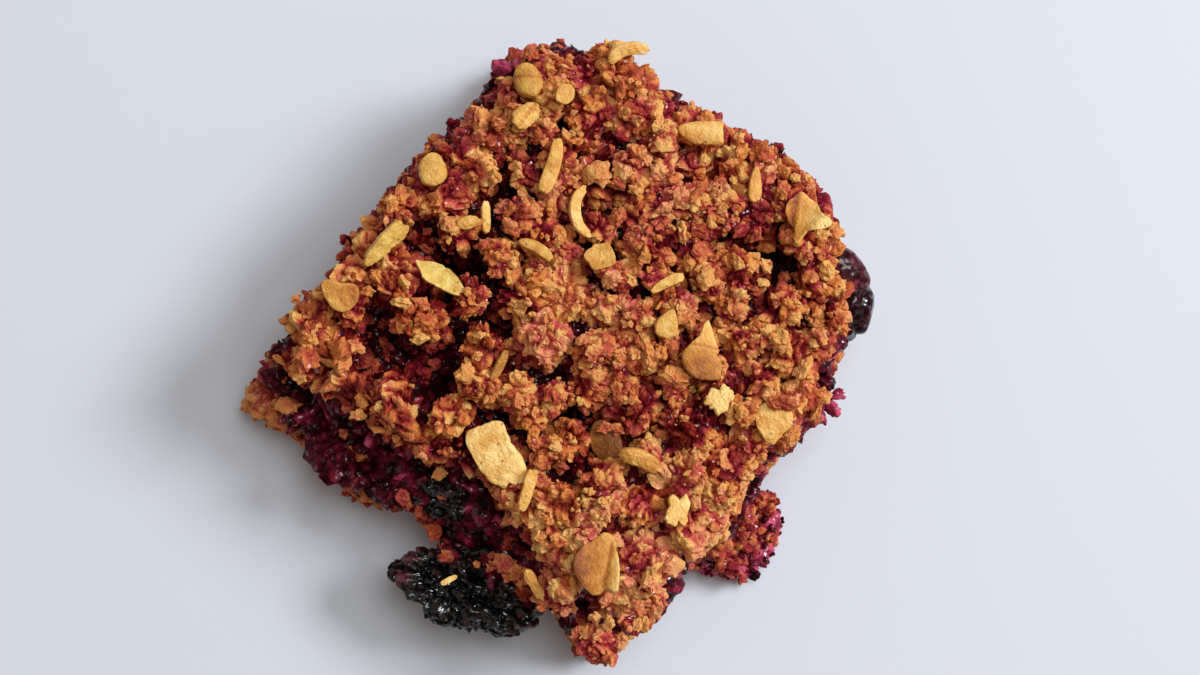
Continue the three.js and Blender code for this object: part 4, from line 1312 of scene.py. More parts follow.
def flake_points(length, width, seed, power=3.0, taper=0.0, thick=1.0, rough=0.06, bumps=0.10, grain=0.55,
                 bend=0.0, cup=0.0, arc=0.0, dents=(), creases=(), painted_light_side=(0, 0.0), edge=None):
    """A flake lying flat, in millimetres.

    Outline: (|cos|^power + |sin|^power)^(-1/power), plus its dents (angle, width in degrees, depth), or the
    distances in edge, which go straight from one direction to the next.
    Sheet: bend x (along)^2 + cup x (across)^2, grooves for its creases, and bumps. Arc curls it level.
    Light side: the direction in which the flake is painted lighter and the other way darker, as painted light
    and shade, and by how much at its end.
    """
    directions, triangles = ball_net(FLAKE_NET)
    angle = np.arctan2(directions[:, 1], directions[:, 0])
    ring = np.hypot(directions[:, 0], directions[:, 1])
    outline = (np.abs(np.cos(angle)) ** power + np.abs(np.sin(angle)) ** power) ** (-1 / power)
    for at, wide, out in dents:
        gap = (angle - math.radians(at) + math.pi) % (2 * math.pi) - math.pi
        outline = outline + out * np.exp(-((gap / math.radians(wide)) ** 2))
    turned_round = np.stack([2.2 * np.cos(angle), 2.2 * np.sin(angle), np.full_like(angle, seed + 0.5)], -1)
    outline = outline + rough * rough_noise(turned_round, 3, seed)
    along, across = np.cos(angle) * ring * outline, np.sin(angle) * ring * outline
    across = across * (1 - taper * along)
    x, y = along * length / 2, across * width / 2
    if edge:
        ways, distances = np.array(edge).T
        reach = np.interp(np.degrees(angle), ways, distances, period=360) * ring
        reach = reach * (1 + rough * rough_noise(turned_round, 3, seed))
        x, y = reach * np.cos(angle), reach * np.sin(angle)
        along, across = 2 * x / length, 2 * y / width
    z = np.sign(directions[:, 2]) * np.abs(directions[:, 2]) ** EDGE_ROUND * thick / 2
    flat = np.stack([x, y, np.full_like(x, seed + 0.5)], -1)
    relief = bumps * (rough_noise(flat / 1.1, 2, seed + 1) + packed_lumps(flat, grain, seed + 2)[0])
    for cx, cy, heading, depth, wide in creases:
        away = (y - cy) * math.cos(math.radians(heading)) - (x - cx) * math.sin(math.radians(heading))
        relief = relief - depth * np.exp(-((away / wide) ** 2))
    z = z + relief + bend * along**2 + cup * across**2
    # Painted light and shade: one side of the flake lighter, the other side darker.
    tone = painted_light_side[1] * (along * math.cos(math.radians(painted_light_side[0])) + across * math.sin(math.radians(painted_light_side[0])))
    if arc:
        radius = length / math.radians(arc)
        x, y = (radius - y) * np.sin(x / radius), radius - (radius - y) * np.cos(x / radius)
    # Rise: high on the bumps and low in the creases, for the nut's painted light and shade.
    return np.stack([x, y, z], -1), triangles, 0.5 + relief / (4 * bumps + 0.1), tone

# %% Flake places
FLAKES = {  # name: x, y, turn, lean, roll, share sunk, golden, olive, length, width, and its own shape
    "flake_big": (1.0, -19.2, -18, 4, 6, 0.10, 0.80, 0.0, 8.9, 5.5, dict(
        thick=1.4, rough=0.04, bumps=0.12, grain=0.42,
        edge=[(-23, 5.4), (-13, 4.5), (-7, 5.3), (2, 5.7), (22, 4.6), (34, 3.8), (60, 2.5), (90, 2.1),
              (120, 2.65), (138, 3.9), (150, 4.0), (180, 4.1), (204, 4.8), (225, 4.3), (243, 3.6),
              (270, 3.3), (300, 3.75), (330, 4.8)])),
    "flake_stick": (7.4, -20.8, 113, -6, 10, 0.15, 0.62, 0.0, 5.7, 1.6, dict(
        power=4, thick=1.2, rough=0.10, bumps=0.08, taper=-0.12)),
    "flake_leaf": (-19.7, -5.9, 5, 6, -16, 0.08, 0.72, 1.0, 8.0, 3.6, dict(
        thick=0.7, bend=0.4, cup=0.5, bumps=0.08, rough=0.05,
        edge=[(-6, 3.8), (6, 3.6), (27, 2.6), (56, 1.75), (98, 1.5), (134, 1.95), (154, 2.5), (167, 3.1),
              (174, 3.5), (181, 4.3), (189, 3.5), (199, 2.9), (217, 2.6), (235, 2.0), (259, 1.4),
              (299, 1.5), (323, 2.0), (341, 3.0)])),
    "flake_left_round": (-28.4, -15.8, 39, -2, 10, 0.10, 0.42, 0.15, 5.3, 4.7, dict(
        thick=1.1, rough=0.03, bumps=0.05, cup=0.2, painted_light_side=(180, 0.12),
        edge=[(10, 2.05), (32, 2.1), (50, 1.9), (81, 1.5), (105, 1.5), (119, 1.95), (137, 3.0), (148, 3.4),
              (158, 3.2), (173, 2.8), (190, 2.6), (210, 2.45), (260, 2.4), (310, 2.1), (339, 2.0)])),
    "flake_left_edge": (-28.6, -7.0, 85, 6, 34, 0.12, 0.60, 0.80, 7.5, 2.7, dict(
        power=2.8, thick=1.0, taper=-0.20, bumps=0.14, rough=0.14, dents=[(180, 22, 0.06)])),
    "flake_left_back": (-29.4, 5.0, 129, 6, 18, 0.15, 0.56, 0.55, 4.9, 3.9, dict(
        thick=1.3, rough=0.04, bumps=0.08, cup=-0.4, painted_light_side=(30, 0.15),
        edge=[(5, 2.6), (24, 2.75), (58, 2.5), (89, 2.2), (120, 2.45), (156, 2.25), (190, 1.8), (230, 1.6),
              (294, 1.5), (330, 1.8), (346, 2.3)])),
    "flake_long": (-17.5, 15.4, 113, 5, -4, 0.16, 0.60, 0.05, 7.9, 2.0, dict(
        power=3.4, thick=1.4, rough=0.05, taper=0.14, arc=24, bumps=0.08)),
    "flake_hook": (-10.8, 13.0, 134, -4, 14, 0.12, 0.70, 0.0, 7.6, 1.5, dict(
        power=3.5, thick=1.2, rough=0.14, arc=-115, bumps=0.10)),
    "flake_back": (-4.4, 31.6, 36, -8, 4, 0.14, 0.62, 0.0, 6.9, 3.3, dict(
        thick=1.3, bumps=0.05, rough=0.03, cup=-0.3, painted_light_side=(20, 0.10),
        edge=[(1, 3.1), (21, 3.15), (33, 3.6), (47, 2.9), (68, 2.25), (94, 2.0), (125, 2.3), (142, 2.7),
              (158, 3.35), (166, 3.3), (178, 2.8), (189, 2.2), (216, 1.5), (284, 1.0), (323, 1.8),
              (335, 2.8), (345, 3.2)])),
    "flake_curl": (12.6, 31.0, 96, 6, -8, 0.14, 0.48, 0.0, 7.4, 4.6, dict(
        thick=0.9, cup=0.9, bumps=0.07, rough=0.05, painted_light_side=(-60, 0.34), creases=[(0.0, 0.6, 20, 0.30, 0.5)],
        edge=[(0, 3.6), (22, 4.0), (39, 3.0), (65, 2.4), (83, 1.9), (111, 1.25), (160, 1.0), (195, 1.1),
              (201, 2.0), (205, 3.6), (211, 3.8), (221, 3.3), (235, 2.6), (252, 2.3), (268, 3.2),
              (283, 5.0), (291, 4.9), (301, 3.8), (318, 3.3), (338, 3.5)])),
    "flake_tear": (14.0, 8.6, 137, 5, 3, 0.10, 0.44, 0.0, 8.1, 4.7, dict(
        thick=1.7, rough=0.02, bumps=0.03, cup=-0.4, painted_light_side=(-10, 0.36), creases=[(0.0, -1.6, 70, 0.12, 0.18)],
        edge=[(-31, 3.3), (-19, 4.3), (-10, 3.5), (-4, 2.6), (4, 2.0), (30, 1.8), (60, 2.0), (90, 2.75),
              (120, 3.3), (150, 3.75), (180, 4.05), (203, 4.5), (212, 3.8), (224, 3.35), (234, 2.8),
              (241, 2.2), (245, 1.6), (249, 2.2), (270, 2.1), (300, 2.2), (317, 2.7)])),
    # Its low golden tone is partly its own dark colour and partly painted shade.
    "flake_half_sunk": (11.0, -9.4, -11, -12, 10, 0.34, 0.00, 0.80, 7.0, 5.2, dict(
        thick=1.2, bumps=0.05, cup=-0.3, rough=0.03, painted_light_side=(230, 0.30),
        edge=[(-3, 4.4), (17, 3.6), (39, 3.1), (61, 2.9), (86, 2.75), (115, 2.95), (136, 3.0), (152, 2.75),
              (175, 2.0), (208, 1.5), (257, 1.4), (298, 1.8), (324, 2.6), (340, 3.6)])),
    "flake_shell": (16.6, -8.0, 18, 8, 16, 0.20, 0.50, 0.1, 6.2, 2.4, dict(
        power=2.6, thick=1.3, bend=-0.7, arc=-85, rough=0.12, bumps=0.12)),
    "flake_low_tear": (21.2, -22.4, 118, 8, -10, 0.08, 0.44, 0.0, 8.3, 5.0, dict(
        thick=1.3, rough=0.02, bumps=0.03, cup=0.5, painted_light_side=(-75, 0.40), creases=[(0, -1.2, 0, 0.15, 0.35)],
        edge=[(-22, 3.8), (-12, 4.3), (3, 4.3), (15, 3.6), (32, 3.2), (75, 3.35), (109, 3.5), (143, 3.65),
              (164, 4.0), (178, 4.35), (193, 4.1), (200, 3.6), (209, 3.7), (215, 4.6), (221, 4.7),
              (229, 4.1), (243, 3.3), (260, 2.95), (280, 2.65), (304, 2.75), (325, 3.0)])),
    "flake_right": (27.0, 7.5, 72, -4, -8, 0.30, 0.66, 0.0, 6.0, 4.6, dict(
        thick=1.3, rough=0.05, bumps=0.10, cup=-0.3,
        edge=[(0, 3.1), (35, 2.75), (53, 2.6), (75, 2.25), (100, 2.1), (121, 2.0), (147, 1.9), (177, 2.0),
              (211, 2.6), (232, 3.3), (239, 3.7), (246, 3.8), (260, 3.2), (278, 2.85), (297, 3.05),
              (327, 3.2)])),
    "flake_back_left": (-27.4, 22.6, 149, 12, 8, 0.22, 0.44, 0.60, 5.0, 3.9, dict(
        power=2.1, thick=1.8, bumps=0.04, cup=-0.5, creases=[(0.3, 0, 70, 0.12, 0.25)])),
    "flake_upright": (-19.6, 34.6, 55, 4, 30, 0.04, 0.70, 0.0, 6.2, 1.8, dict(
        power=3, thick=1.0, rough=0.12, arc=-85, bumps=0.10)),
    "flake_middle": (-4.8, 9.9, 60, 6, -8, 0.22, 0.50, 0.40, 4.0, 3.5, dict(
        power=3.2, thick=0.9, cup=0.4, bend=0.3, rough=0.09, bumps=0.08, dents=[(200, 24, -0.12)])),
    "flake_wedge": (8.0, 8.6, 110, -6, 8, 0.20, 0.58, 0.35, 4.2, 3.0, dict(
        power=1.8, taper=0.45, thick=1.5, rough=0.08, bumps=0.05)),
    "flake_low_right": (24.8, -10.2, 120, 4, 6, 0.18, 0.80, 0.1, 4.4, 2.9, dict(
        power=4, thick=1.4, rough=0.30, bumps=0.10, grain=0.4, dents=[(200, 16, -0.3), (80, 14, -0.25)])),
    "flake_pale": (-22.3, 24.1, 100, 6, 4, 0.24, 0.62, 0.1, 2.9, 2.5, dict(
        power=2.0, thick=1.3, rough=0.10, bumps=0.05)),
    "flake_crumbled": (19.9, 5.0, 80, 2, -6, 0.14, 0.90, 0.1, 4.0, 3.3, dict(
        power=3.5, thick=1.5, rough=0.30, bumps=0.12, grain=0.5, dents=[(60, 18, -0.35), (170, 16, -0.25)])),
    "flake_sliver": (-20.3, 4.5, 131, 4, 10, 0.20, 0.66, 0.0, 4.6, 1.2, dict(
        power=3, thick=1.2, rough=0.12, bumps=0.12)),
    "flake_tan": (-21.6, 2.4, 48, 4, 10, 0.24, 0.54, 0.2, 3.2, 1.8, dict(power=2.2, thick=1.1, rough=0.10)),
    "flake_arc": (-12.2, 5.4, 10, 6, -16, 0.24, 0.42, 0.55, 5.3, 1.6, dict(
        power=2.6, thick=1.1, arc=-50, bumps=0.04)),
    "flake_bone": (4.5, 12.9, 66, 4, 6, 0.20, 0.66, 0.25, 4.9, 1.4, dict(
        power=3, thick=0.9, taper=-0.25, arc=-26, rough=0.10)),
    "flake_thin": (5.5, 31.2, 124, 6, 12, 0.26, 0.48, 0.1, 5.0, 1.7, dict(power=2.6, taper=0.4, thick=1.0)),
    "flake_shaded": (-6.1, -10.1, 104, 8, 20, 0.30, 0.28, 0.6, 4.8, 1.2, dict(power=2.8, thick=0.9, arc=14)),
    "flake_low": (16.3, -30.2, -21, 8, 10, 0.24, 0.56, 0.1, 4.8, 1.6, dict(
        power=2.6, thick=1.1, rough=0.12, dents=[(90, 14, -0.25), (-90, 14, -0.2)])),
    "flake_folded": (-24.6, 18.6, 85, 8, 18, 0.20, 0.70, 0.15, 4.4, 3.2, dict(
        power=2.2, thick=1.0, rough=0.14, cup=-0.7, bumps=0.12, creases=[(0, 0.2, 10, 0.25, 0.3)])),
}


def rest_on_heap(points, x, y, sunk):
    """Height at which this share of the points lies under the heap's surface."""
    gaps = height_at(points[:, 0] + x, points[:, 1] + y) - points[:, 2]
    return np.percentile(gaps, 100 * (1 - sunk))


flake_all = []
for name, (x, y, turn, lean, roll, sunk, golden, olive, length, width, shape) in FLAKES.items():
    number = len(flake_all)
    points, triangles, rise, tone = flake_points(length, width, 200 + number * 7, **shape)
    middle = (points.max(0) + points.min(0)) / 2
    if "edge" in shape:
        middle[:2] = 0
    points = turned(points - middle, turn, lean, roll)
    points = points + np.array([x, y, rest_on_heap(points, x, y, sunk)])
    held_in(points, TOP_LIMIT + 0.2)
    replaced = [name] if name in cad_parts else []
    numbers = {"golden": golden + tone, "olive": olive, "rise": rise}
    make_piece(name, points, triangles, numbers, replaced, nut_finish)
    flake_all.append(points)
print("flakes:", len(flake_all))

# %% Room for the flakes
CRUMBS_ON_FLAKES = 0.025  # share of the crumbs that may lie on a flake
FLAKE_ROOM = 0.86  # share of a flake's width that is kept clear
ABOVE_ALL = 100  # higher than any piece: the map keeps highest points, so lowest ones are turned over

flake_cells = np.concatenate([p.mean(0) + (p - p.mean(0)) * [FLAKE_ROOM, FLAKE_ROOM, 1] for p in flake_all])
flake_lows = -height_map(flake_cells * [1, 1, -1] + [0, 0, ABOVE_ALL]) + ABOVE_ALL
flake_lows[flake_lows == ABOVE_ALL] = np.inf


def on_a_flake(places, sizes, seeds):
    """Whether crumbs would stand in a flake or on it, apart from the few that may."""
    hit = np.zeros(len(places), bool)
    for step in ((0, 0), (1, 0), (-1, 0), (0, 1), (0, -1)):
        beside = places[:, :2] + np.array(step) * sizes[:, None] * 0.8
        hit |= places[:, 2] + sizes > flake_lows[map_cells(beside)]
    return hit & (chance(seeds, 300) > CRUMBS_ON_FLAKES)

# %% [markdown]
# ## Loose crumbs
#
# Thousands of separate crumbs lie on the clumps and in the gaps. Each is a cut ball from a small set of
# shapes, stretched, turned at random and sunk a little where it lies. A place is a point of a surface that is
# already made, so crumbs cover the sides of clumps as well as their tops. Crumbs that would be buried are
# left out.

# %% Crumb scatter
SHAPES = 60
SHAPE_PLANES = 8
SHAPE_ROUGH = 0.28
RAGGED, RAGGED_WIDTH = 0.32, 0.55
BLOCKS_ON_CRUMBS = 0.50
LARGEST_RAGGED = 0.9  # crumbs larger than this get the same roughness, not more
NET_FOR_RAGGED, NET_FOR_BLOCKS = 5, 8  # crumbs with a coarser net are too small to show it
BACK_LIMIT = box_of("crumble")[1][1] + 1.6
PLACES_IN_MM = 200  # steps in a millimetre in which places draw a chance of their own


def random_turns(seeds, seed):
    """Turns at random, evenly over all: a unit quaternion from three chances, written out as a matrix."""
    first, second, third = (chance(seeds, seed + k) for k in range(3))
    one, two = np.sqrt(1 - first), np.sqrt(first)
    x, y = one * np.sin(2 * math.pi * second), one * np.cos(2 * math.pi * second)
    z, w = two * np.sin(2 * math.pi * third), two * np.cos(2 * math.pi * third)
    return np.stack([
        np.stack([1 - 2 * (y * y + z * z), 2 * (x * y - z * w), 2 * (x * z + y * w)], -1),
        np.stack([2 * (x * y + z * w), 1 - 2 * (x * x + z * z), 2 * (y * z - x * w)], -1),
        np.stack([2 * (x * z - y * w), 2 * (y * z + x * w), 1 - 2 * (x * x + y * y)], -1),
    ], -2)


def crumb_points(places, sizes, count, flat, seed, roundness=0.0):
    """Crumbs as one array: each is a shape of the set, stretched, turned, put in place and roughened."""
    directions, triangles = ball_net(count)
    radius = cut_radius(directions, SHAPES, SHAPE_PLANES, seed)
    radius = radius + roundness * (radius.mean() - radius)
    own = np.arange(SHAPES)[:, None, None] * 5.1
    radius = radius * (1 + SHAPE_ROUGH * rough_noise(directions[None] * 2.4 + own, 3, seed))
    number = np.arange(len(places))
    seeds = np.stack([number, number // 7, number * 0], -1)
    shape = (chance(seeds, seed + 11) * SHAPES).astype(int) % SHAPES
    long, thin = 1 + 0.4 * chance(seeds, seed + 12), 1 - flat * chance(seeds, seed + 13)
    stretch = np.stack([long, np.ones(len(places)), thin], -1)
    local = directions[None] * radius[shape][..., None] * stretch[:, None] * sizes[:, None, None]
    local = np.einsum("npk,njk->npj", local, random_turns(seeds, seed + 14))
    placed = local + places[:, None]
    outward = local / np.maximum(sizes, LARGEST_RAGGED)[:, None, None] * LARGEST_RAGGED
    if count >= NET_FOR_RAGGED:
        placed = placed + outward * (RAGGED * noise(placed / RAGGED_WIDTH, seed + 18))[..., None]
    if count >= NET_FOR_BLOCKS:
        blocks = broken_blocks(placed, FINE_WIDTH, 72)[0] - 0.4
        placed = placed + outward * (BLOCKS_ON_CRUMBS * blocks)[..., None]
    bulge = (radius[shape] - radius.min()) / (radius.max() - radius.min())
    return *joined(placed, triangles), bulge


def picked(points, wanted, seed):
    """This many of a surface's points: those with the lowest chance, drawn by their place."""
    draw = chance(np.round(points * PLACES_IN_MM), seed)
    return np.argsort(draw)[:wanted]


def buried(places, slack):
    """Whether places lie inside a clump."""
    middles = np.concatenate([clump_middles, wall_clumps[:, :3]])
    radii = np.concatenate([clumps[:, 2], wall_clumps[:, 3]])
    away = np.linalg.norm(places[:, None] - middles[None], axis=-1)
    return (away < radii * slack).any(1)


def scatter(name, source, wanted, small, large, count, flat, lift, golden, juice, seed,
            material=None, keep=None, own_golden=0.50, own_juice=0.7, roundness=0.0):
    """A piece of crumbs on a surface. Small sizes are more frequent. Tones follow the place, plus chance."""
    points, facing = source
    index = picked(points, wanted, seed)
    places, outward = points[index], facing[index]
    number = np.arange(len(places))
    seeds = np.stack([number, number // 5, number * 0 + 2], -1)
    sizes = small + (large - small) * chance(seeds, seed + 1) ** 2
    places = places + outward * (sizes * lift)[:, None]
    kept = ~on_a_flake(places, sizes, seeds)
    if keep is not None:
        kept &= keep(places, outward)
    kept &= places[:, 2] + 0.7 * sizes < TOP_LIMIT + 0.2
    kept &= places[:, 2] - 0.7 * sizes > 0
    kept &= places[:, 1] + 0.8 * sizes < BACK_LIMIT
    places, sizes, seeds = places[kept], sizes[kept], seeds[kept]
    placed, triangles, bulge = crumb_points(places, sizes, count, flat, seed + 2, roundness)
    held_in(placed, TOP_LIMIT + 0.15)
    placed[:, 2] = np.maximum(placed[:, 2], 0)
    # Deep in the heap a crumb gets more juice, and a lower tone and rise as painted shade. What bulges gets a
    # higher rise: more golden, partly real browning.
    deep = deep_in_heap(places)
    tone = golden(places) + own_golden * (chance(seeds, seed + 3) - 0.5) - 0.20 * deep
    soak = juice(places) + own_juice * (chance(seeds, seed + 4) - 0.5) + 0.50 * deep
    shape = bulge.shape
    numbers = {
        "golden": np.broadcast_to(tone[:, None], shape).ravel(),
        "rise": np.clip(0.35 + 0.55 * bulge - 0.25 * deep[:, None], 0, 1).ravel(),
        "juice": np.broadcast_to(np.clip(soak, 0, 1)[:, None], shape).ravel(),
    }
    make_piece(name, placed, triangles, numbers, [], material or crumb_finish, roundness > 0)
    return places


heap = (heap_points, heap_facing)


def even(value):
    """The same tone at every place."""
    return lambda places: np.full(len(places), float(value))


def heap_golden(places):
    """The heap's own golden tone at each place."""
    return golden_field(places[:, 0], places[:, 1])


def heap_juice(places):
    """The heap's own juice at each place."""
    return juice_field(places[:, 0], places[:, 1])


def open_to_sky(places, outward):
    """Crumbs that show: out of the clumps, not facing down, and not far below the map's height."""
    up = (outward[:, 2] > -0.35) & ~buried(places, 0.93)
    near_top = places[:, 2] > height_at(places[:, 0], places[:, 1]) - 4.0
    outside = share_out(places[:, 0], places[:, 1]) > 0.9
    return up & (near_top | outside)


def high_and_dry(places, outward):
    """Chips of golden crumb: on top of clumps, not round their feet."""
    return open_to_sky(places, outward) & (outward[:, 2] > 0.2) & (deep_in_heap(places) < 0.45)


scatter("large_crumbs", heap, 1100, 0.9, 1.75, 13, 0.55, 0.10, heap_golden, heap_juice, 91, keep=open_to_sky)
scatter("crumbs", heap, 3000, 0.45, 1.10, 8, 0.50, 0.25, heap_golden, heap_juice, 101, keep=open_to_sky)
scatter("golden_chips", heap, 1500, 0.45, 1.05, 8, 0.70, 0.45, even(0.80), even(0.08), 111, keep=high_and_dry,
        own_golden=0.4, own_juice=0.5)

# %% Crumbs in the gaps


def in_gap(places, outward):
    """Places low between clumps, where the heap is open."""
    out_of_pits = [not in_pit(x, y, 0.9) for x, y, z in places]
    is_open = sparse(places[:, 0], places[:, 1]) > 0.3
    return is_open & (outward[:, 2] > 0.2) & ~buried(places, 0.95) & out_of_pits


core = (heap_points[core_start:], heap_facing[core_start:])
scatter("gap_crumbs", core, 5000, 0.5, 1.5, 7, 0.45, 0.45, even(0.60), even(0.00), 116, keep=in_gap,
        own_juice=0.8)
scatter("fine_crumbs", heap, 7000, 0.22, 0.50, 4, 0.45, 0.35, heap_golden, heap_juice, 121, keep=open_to_sky)

# %% Crumbs with a place of their own
NAMED_CRUMBS = [  # x, y, half width, golden, juice
    (10.2, 11.1, 1.5, 0.72, 0.50), (27.6, 10.2, 1.5, 0.50, 0.60), (9.4, 3.7, 1.6, 0.80, 0.60),
    (26.2, 9.2, 0.8, 0.56, 0.50), (10.5, -7.6, 1.2, 0.60, 0.50), (11.8, -6.9, 0.9, 0.56, 0.60),
]
named_crumbs = np.array(NAMED_CRUMBS)
named_heights = height_map(np.concatenate([heap_points, *flake_all]))
named_tops = named_heights[map_cells(named_crumbs)] + 0.15 * named_crumbs[:, 2]
named_tops = np.minimum(named_tops, TOP_LIMIT - 0.4 * named_crumbs[:, 2])
named_places = np.column_stack([named_crumbs[:, :2], named_tops])
points, triangles, bulge = crumb_points(named_places, named_crumbs[:, 2], 13, 0.4, 131)
held_in(points, TOP_LIMIT + 0.2)
golden, juice = (np.broadcast_to(named_crumbs[:, k, None], bulge.shape).ravel() for k in (3, 4))
# Rise from the bulge: what stands out is more golden, partly real browning, and the rest darker, as painted
# shade.
numbers = {"golden": golden, "rise": 0.35 + 0.55 * bulge.ravel(), "juice": juice}
make_piece("named_crumbs", points, triangles, numbers, [], crumb_finish, smooth=False)
# %% [markdown]
# ## The berries
#
# A baked berry has shrunk, so its skin is wrinkled and pebbled. Each berry is an egg shape whose surface goes
# in along wrinkles, where smooth noise is near zero, and out over packed pebbles. The one in front is dry and
# black. The one at the back has burst and collapsed, so its middle is pushed in under a thick glossy rim. The
# third one is still soft, with drupelets.

# %% Berries
BERRY_NET = 140


def berry_points(size, turn, lean, roll, seed, wrinkle, wrinkle_width, pebble, pebble_width, taper=0.0,
                 hollow=None, pale_end=0.0, crinkle=0.45):
    """An egg shape: half size x direction x (1 - taper x along), then in by wrinkles and out by pebbles.

    Wrinkle: depth x (1 - |noise|)^3. Hollow: a place on the egg, its width and how deep it has fallen in.
    """
    directions, triangles = ball_net(BERRY_NET)
    half = np.array(size) / 2
    points = directions * half
    points[:, 1:] *= 1 - taper * directions[:, :1]
    swell = noise(points / (0.35 * size[1]) + seed, seed)
    stretched = points * np.array([0.55, 1, 1]) / wrinkle_width
    folds = (1 - np.abs(rough_noise(stretched + 3.3 * seed, 2, seed + 1))) ** 3
    pebbles, _ = packed_lumps(points, pebble_width, seed + 4)
    fine = 1 - np.abs(rough_noise(points / (0.34 * wrinkle_width), 2, seed + 7))
    out = 0.07 * size[1] * swell - wrinkle * (folds + crinkle * fine**2 - 0.3) + pebble * pebbles
    points = points + directions * out[:, None]
    if hollow:
        spot, wide, depth = hollow
        near = np.exp(-(((directions - np.array(spot)) ** 2).sum(-1)) / wide**2)
        points = points - np.array(spot) * (depth * near)[:, None]
    # Rise: low in the folds and fine wrinkles, as painted shade, and high on the pebbles, as painted light. The
    # berry's own lighter end is added to it.
    pale = pale_end * ramp(-directions[:, 0], 0.3, 0.9)
    rise = np.clip(0.75 - 0.65 * folds + 0.20 * pebbles - 0.35 * fine**2 + pale, 0, 1)
    return turned(points, turn, lean, roll), triangles, rise


def make_berry(name, middle, material, smooth, *shape, **extra):
    """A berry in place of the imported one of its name, held just above the floor."""
    points, triangles, rise = berry_points(*shape, **extra)
    points = points + np.array(middle)
    points[:, 2] = np.maximum(points[:, 2], 0.05)
    numbers = {"rise": rise, "golden": 0.0, "juice": 0.0}
    make_piece(name, points, triangles, numbers, [name], material, smooth)
    surfaces[name] = (points, facing_of(points, triangles))


make_berry(
    "berry_front", middle_of("berry_front") + [-0.1, 0.9, 0], berry_finish, False,
    (23.6, 13.4, 11.4), 27, 4, -12, 401, 1.9, 4.6, 0.10, 0.75, taper=-0.36, pale_end=0.35, crinkle=0.60,
)
make_berry(
    "berry_back_right", middle_of("berry_back_right") + [0.2, 1.1, 0.4], plum_finish, True,
    (14.2, 12.4, 10.8), 128, 0, 0, 402, 0.9, 4.6, 0.05, 1.6,
    hollow=((0.2, -0.1, 0.97), 0.60, 2.8), crinkle=0.08,
)
make_berry(
    "berry_sunk", middle_of("berry_sunk") + [-1.0, 1.0, 0], berry_finish, False,
    (12.5, 9.6, 8.2), 12, 0, 20, 403, 1.3, 3.4, 0.20, 1.2, crinkle=0.60,
)

# %% [markdown]
# ## The lump that broke off
#
# A bit of filling with crumb sticking to it lies against the right side. It is a small heap of cut balls: the
# lower ones are fruit and the upper ones soaked crumb.

# %% Side lump
LUMP_BALLS = [  # x, y, z, radius, 1 for fruit and 0 for crumb
    (33.2, -10.4, 2.6, 2.8, 1), (36.6, -9.2, 2.4, 2.7, 1), (38.9, -6.0, 2.2, 2.4, 1),
    (34.5, -6.0, 3.0, 3.2, 1), (37.6, -2.6, 2.0, 2.2, 1), (33.2, -1.6, 2.6, 2.6, 1),
    (35.6, -11.6, 2.0, 1.9, 1), (39.4, -9.2, 1.6, 1.6, 1), (34.2, -9.6, 5.3, 2.3, 0),
    (37.0, -6.6, 4.6, 2.2, 0), (34.6, -4.0, 5.6, 2.3, 0), (37.3, -10.6, 3.6, 1.9, 0),
    (32.6, -12.6, 2.4, 1.8, 0), (36.2, -0.6, 3.4, 1.7, 0), (39.6, -4.0, 2.0, 1.4, 0),
]
LUMP_NET = 24
LUMP_DRUPELET, LUMP_CRUMB = 1.4, 0.8  # widths of what stands on the balls


def lump_points(balls, seed):
    """Cut balls with packed lumps on them, at their places, as one array."""
    directions, triangles = ball_net(LUMP_NET)
    middles, radii = balls[:, :3], balls[:, 3]
    cut = cut_radius(directions, len(balls), CUT_PLANES, seed)
    points = middles[:, None] + (radii[:, None] * cut)[..., None] * directions[None]
    lumps, _ = packed_lumps(points, LUMP_DRUPELET, seed + 3)
    blocks, own_block = broken_blocks(points, LUMP_CRUMB, seed + 4)
    points = points + (0.7 * lumps + 0.35 * blocks)[..., None] * directions[None]
    points[..., 2] = np.maximum(points[..., 2], 0.02)
    # Rise: high on the drupelets and blocks and low between them, for painted light and shade.
    rise = np.clip(0.6 * lumps + 0.3 * blocks, 0, 1)
    return *joined(points, triangles), rise.ravel(), own_block.ravel()


lump_balls = np.array(LUMP_BALLS, float)
fruit_part = lump_balls[:, 4] == 1
points, triangles, rise, _ = lump_points(lump_balls[fruit_part], 421)
numbers = {"rise": 0.72 + 0.55 * rise}
make_piece("lump_fruit", points, triangles, numbers, ["side_lump"], filling_finish)
surfaces["lump"] = (points, facing_of(points, triangles))
points, triangles, rise, own = lump_points(lump_balls[~fruit_part], 431)
numbers = {"golden": 0.60 + 0.4 * (own - 0.5), "rise": rise, "juice": np.clip(0.60 + 0.8 * (own - 0.5), 0, 1)}
make_piece("lump_crumb", points, triangles, numbers, [], crumb_finish)
surfaces["lump_crumb"] = (points, facing_of(points, triangles))

# %% [markdown]
# ## Fruit and crumbs on the sides
#
# Lumps of fruit bulge from the filling's wall and lie on its open slope. Crumbs stick out of the crust's
# wall, and some have fallen on the slope, on the berry in front and on the lump.

# %% Side scatter


def on_wall(places, outward):
    """Places that face sideways, or lie in the open in front of the crumble."""
    sideways = np.abs(outward[:, 2]) < 0.75
    in_front = (places[:, 1] < CRUMBLE_FRONT + 3) & (outward[:, 2] > -0.2)
    return (sideways | in_front) & ((share_out(places[:, 0], places[:, 1]) > 0.86) | in_front)


def above_floor(places, outward):
    """Places that are clear of the floor and don't face down."""
    return (outward[:, 2] > -0.2) & (places[:, 2] > 0.4)


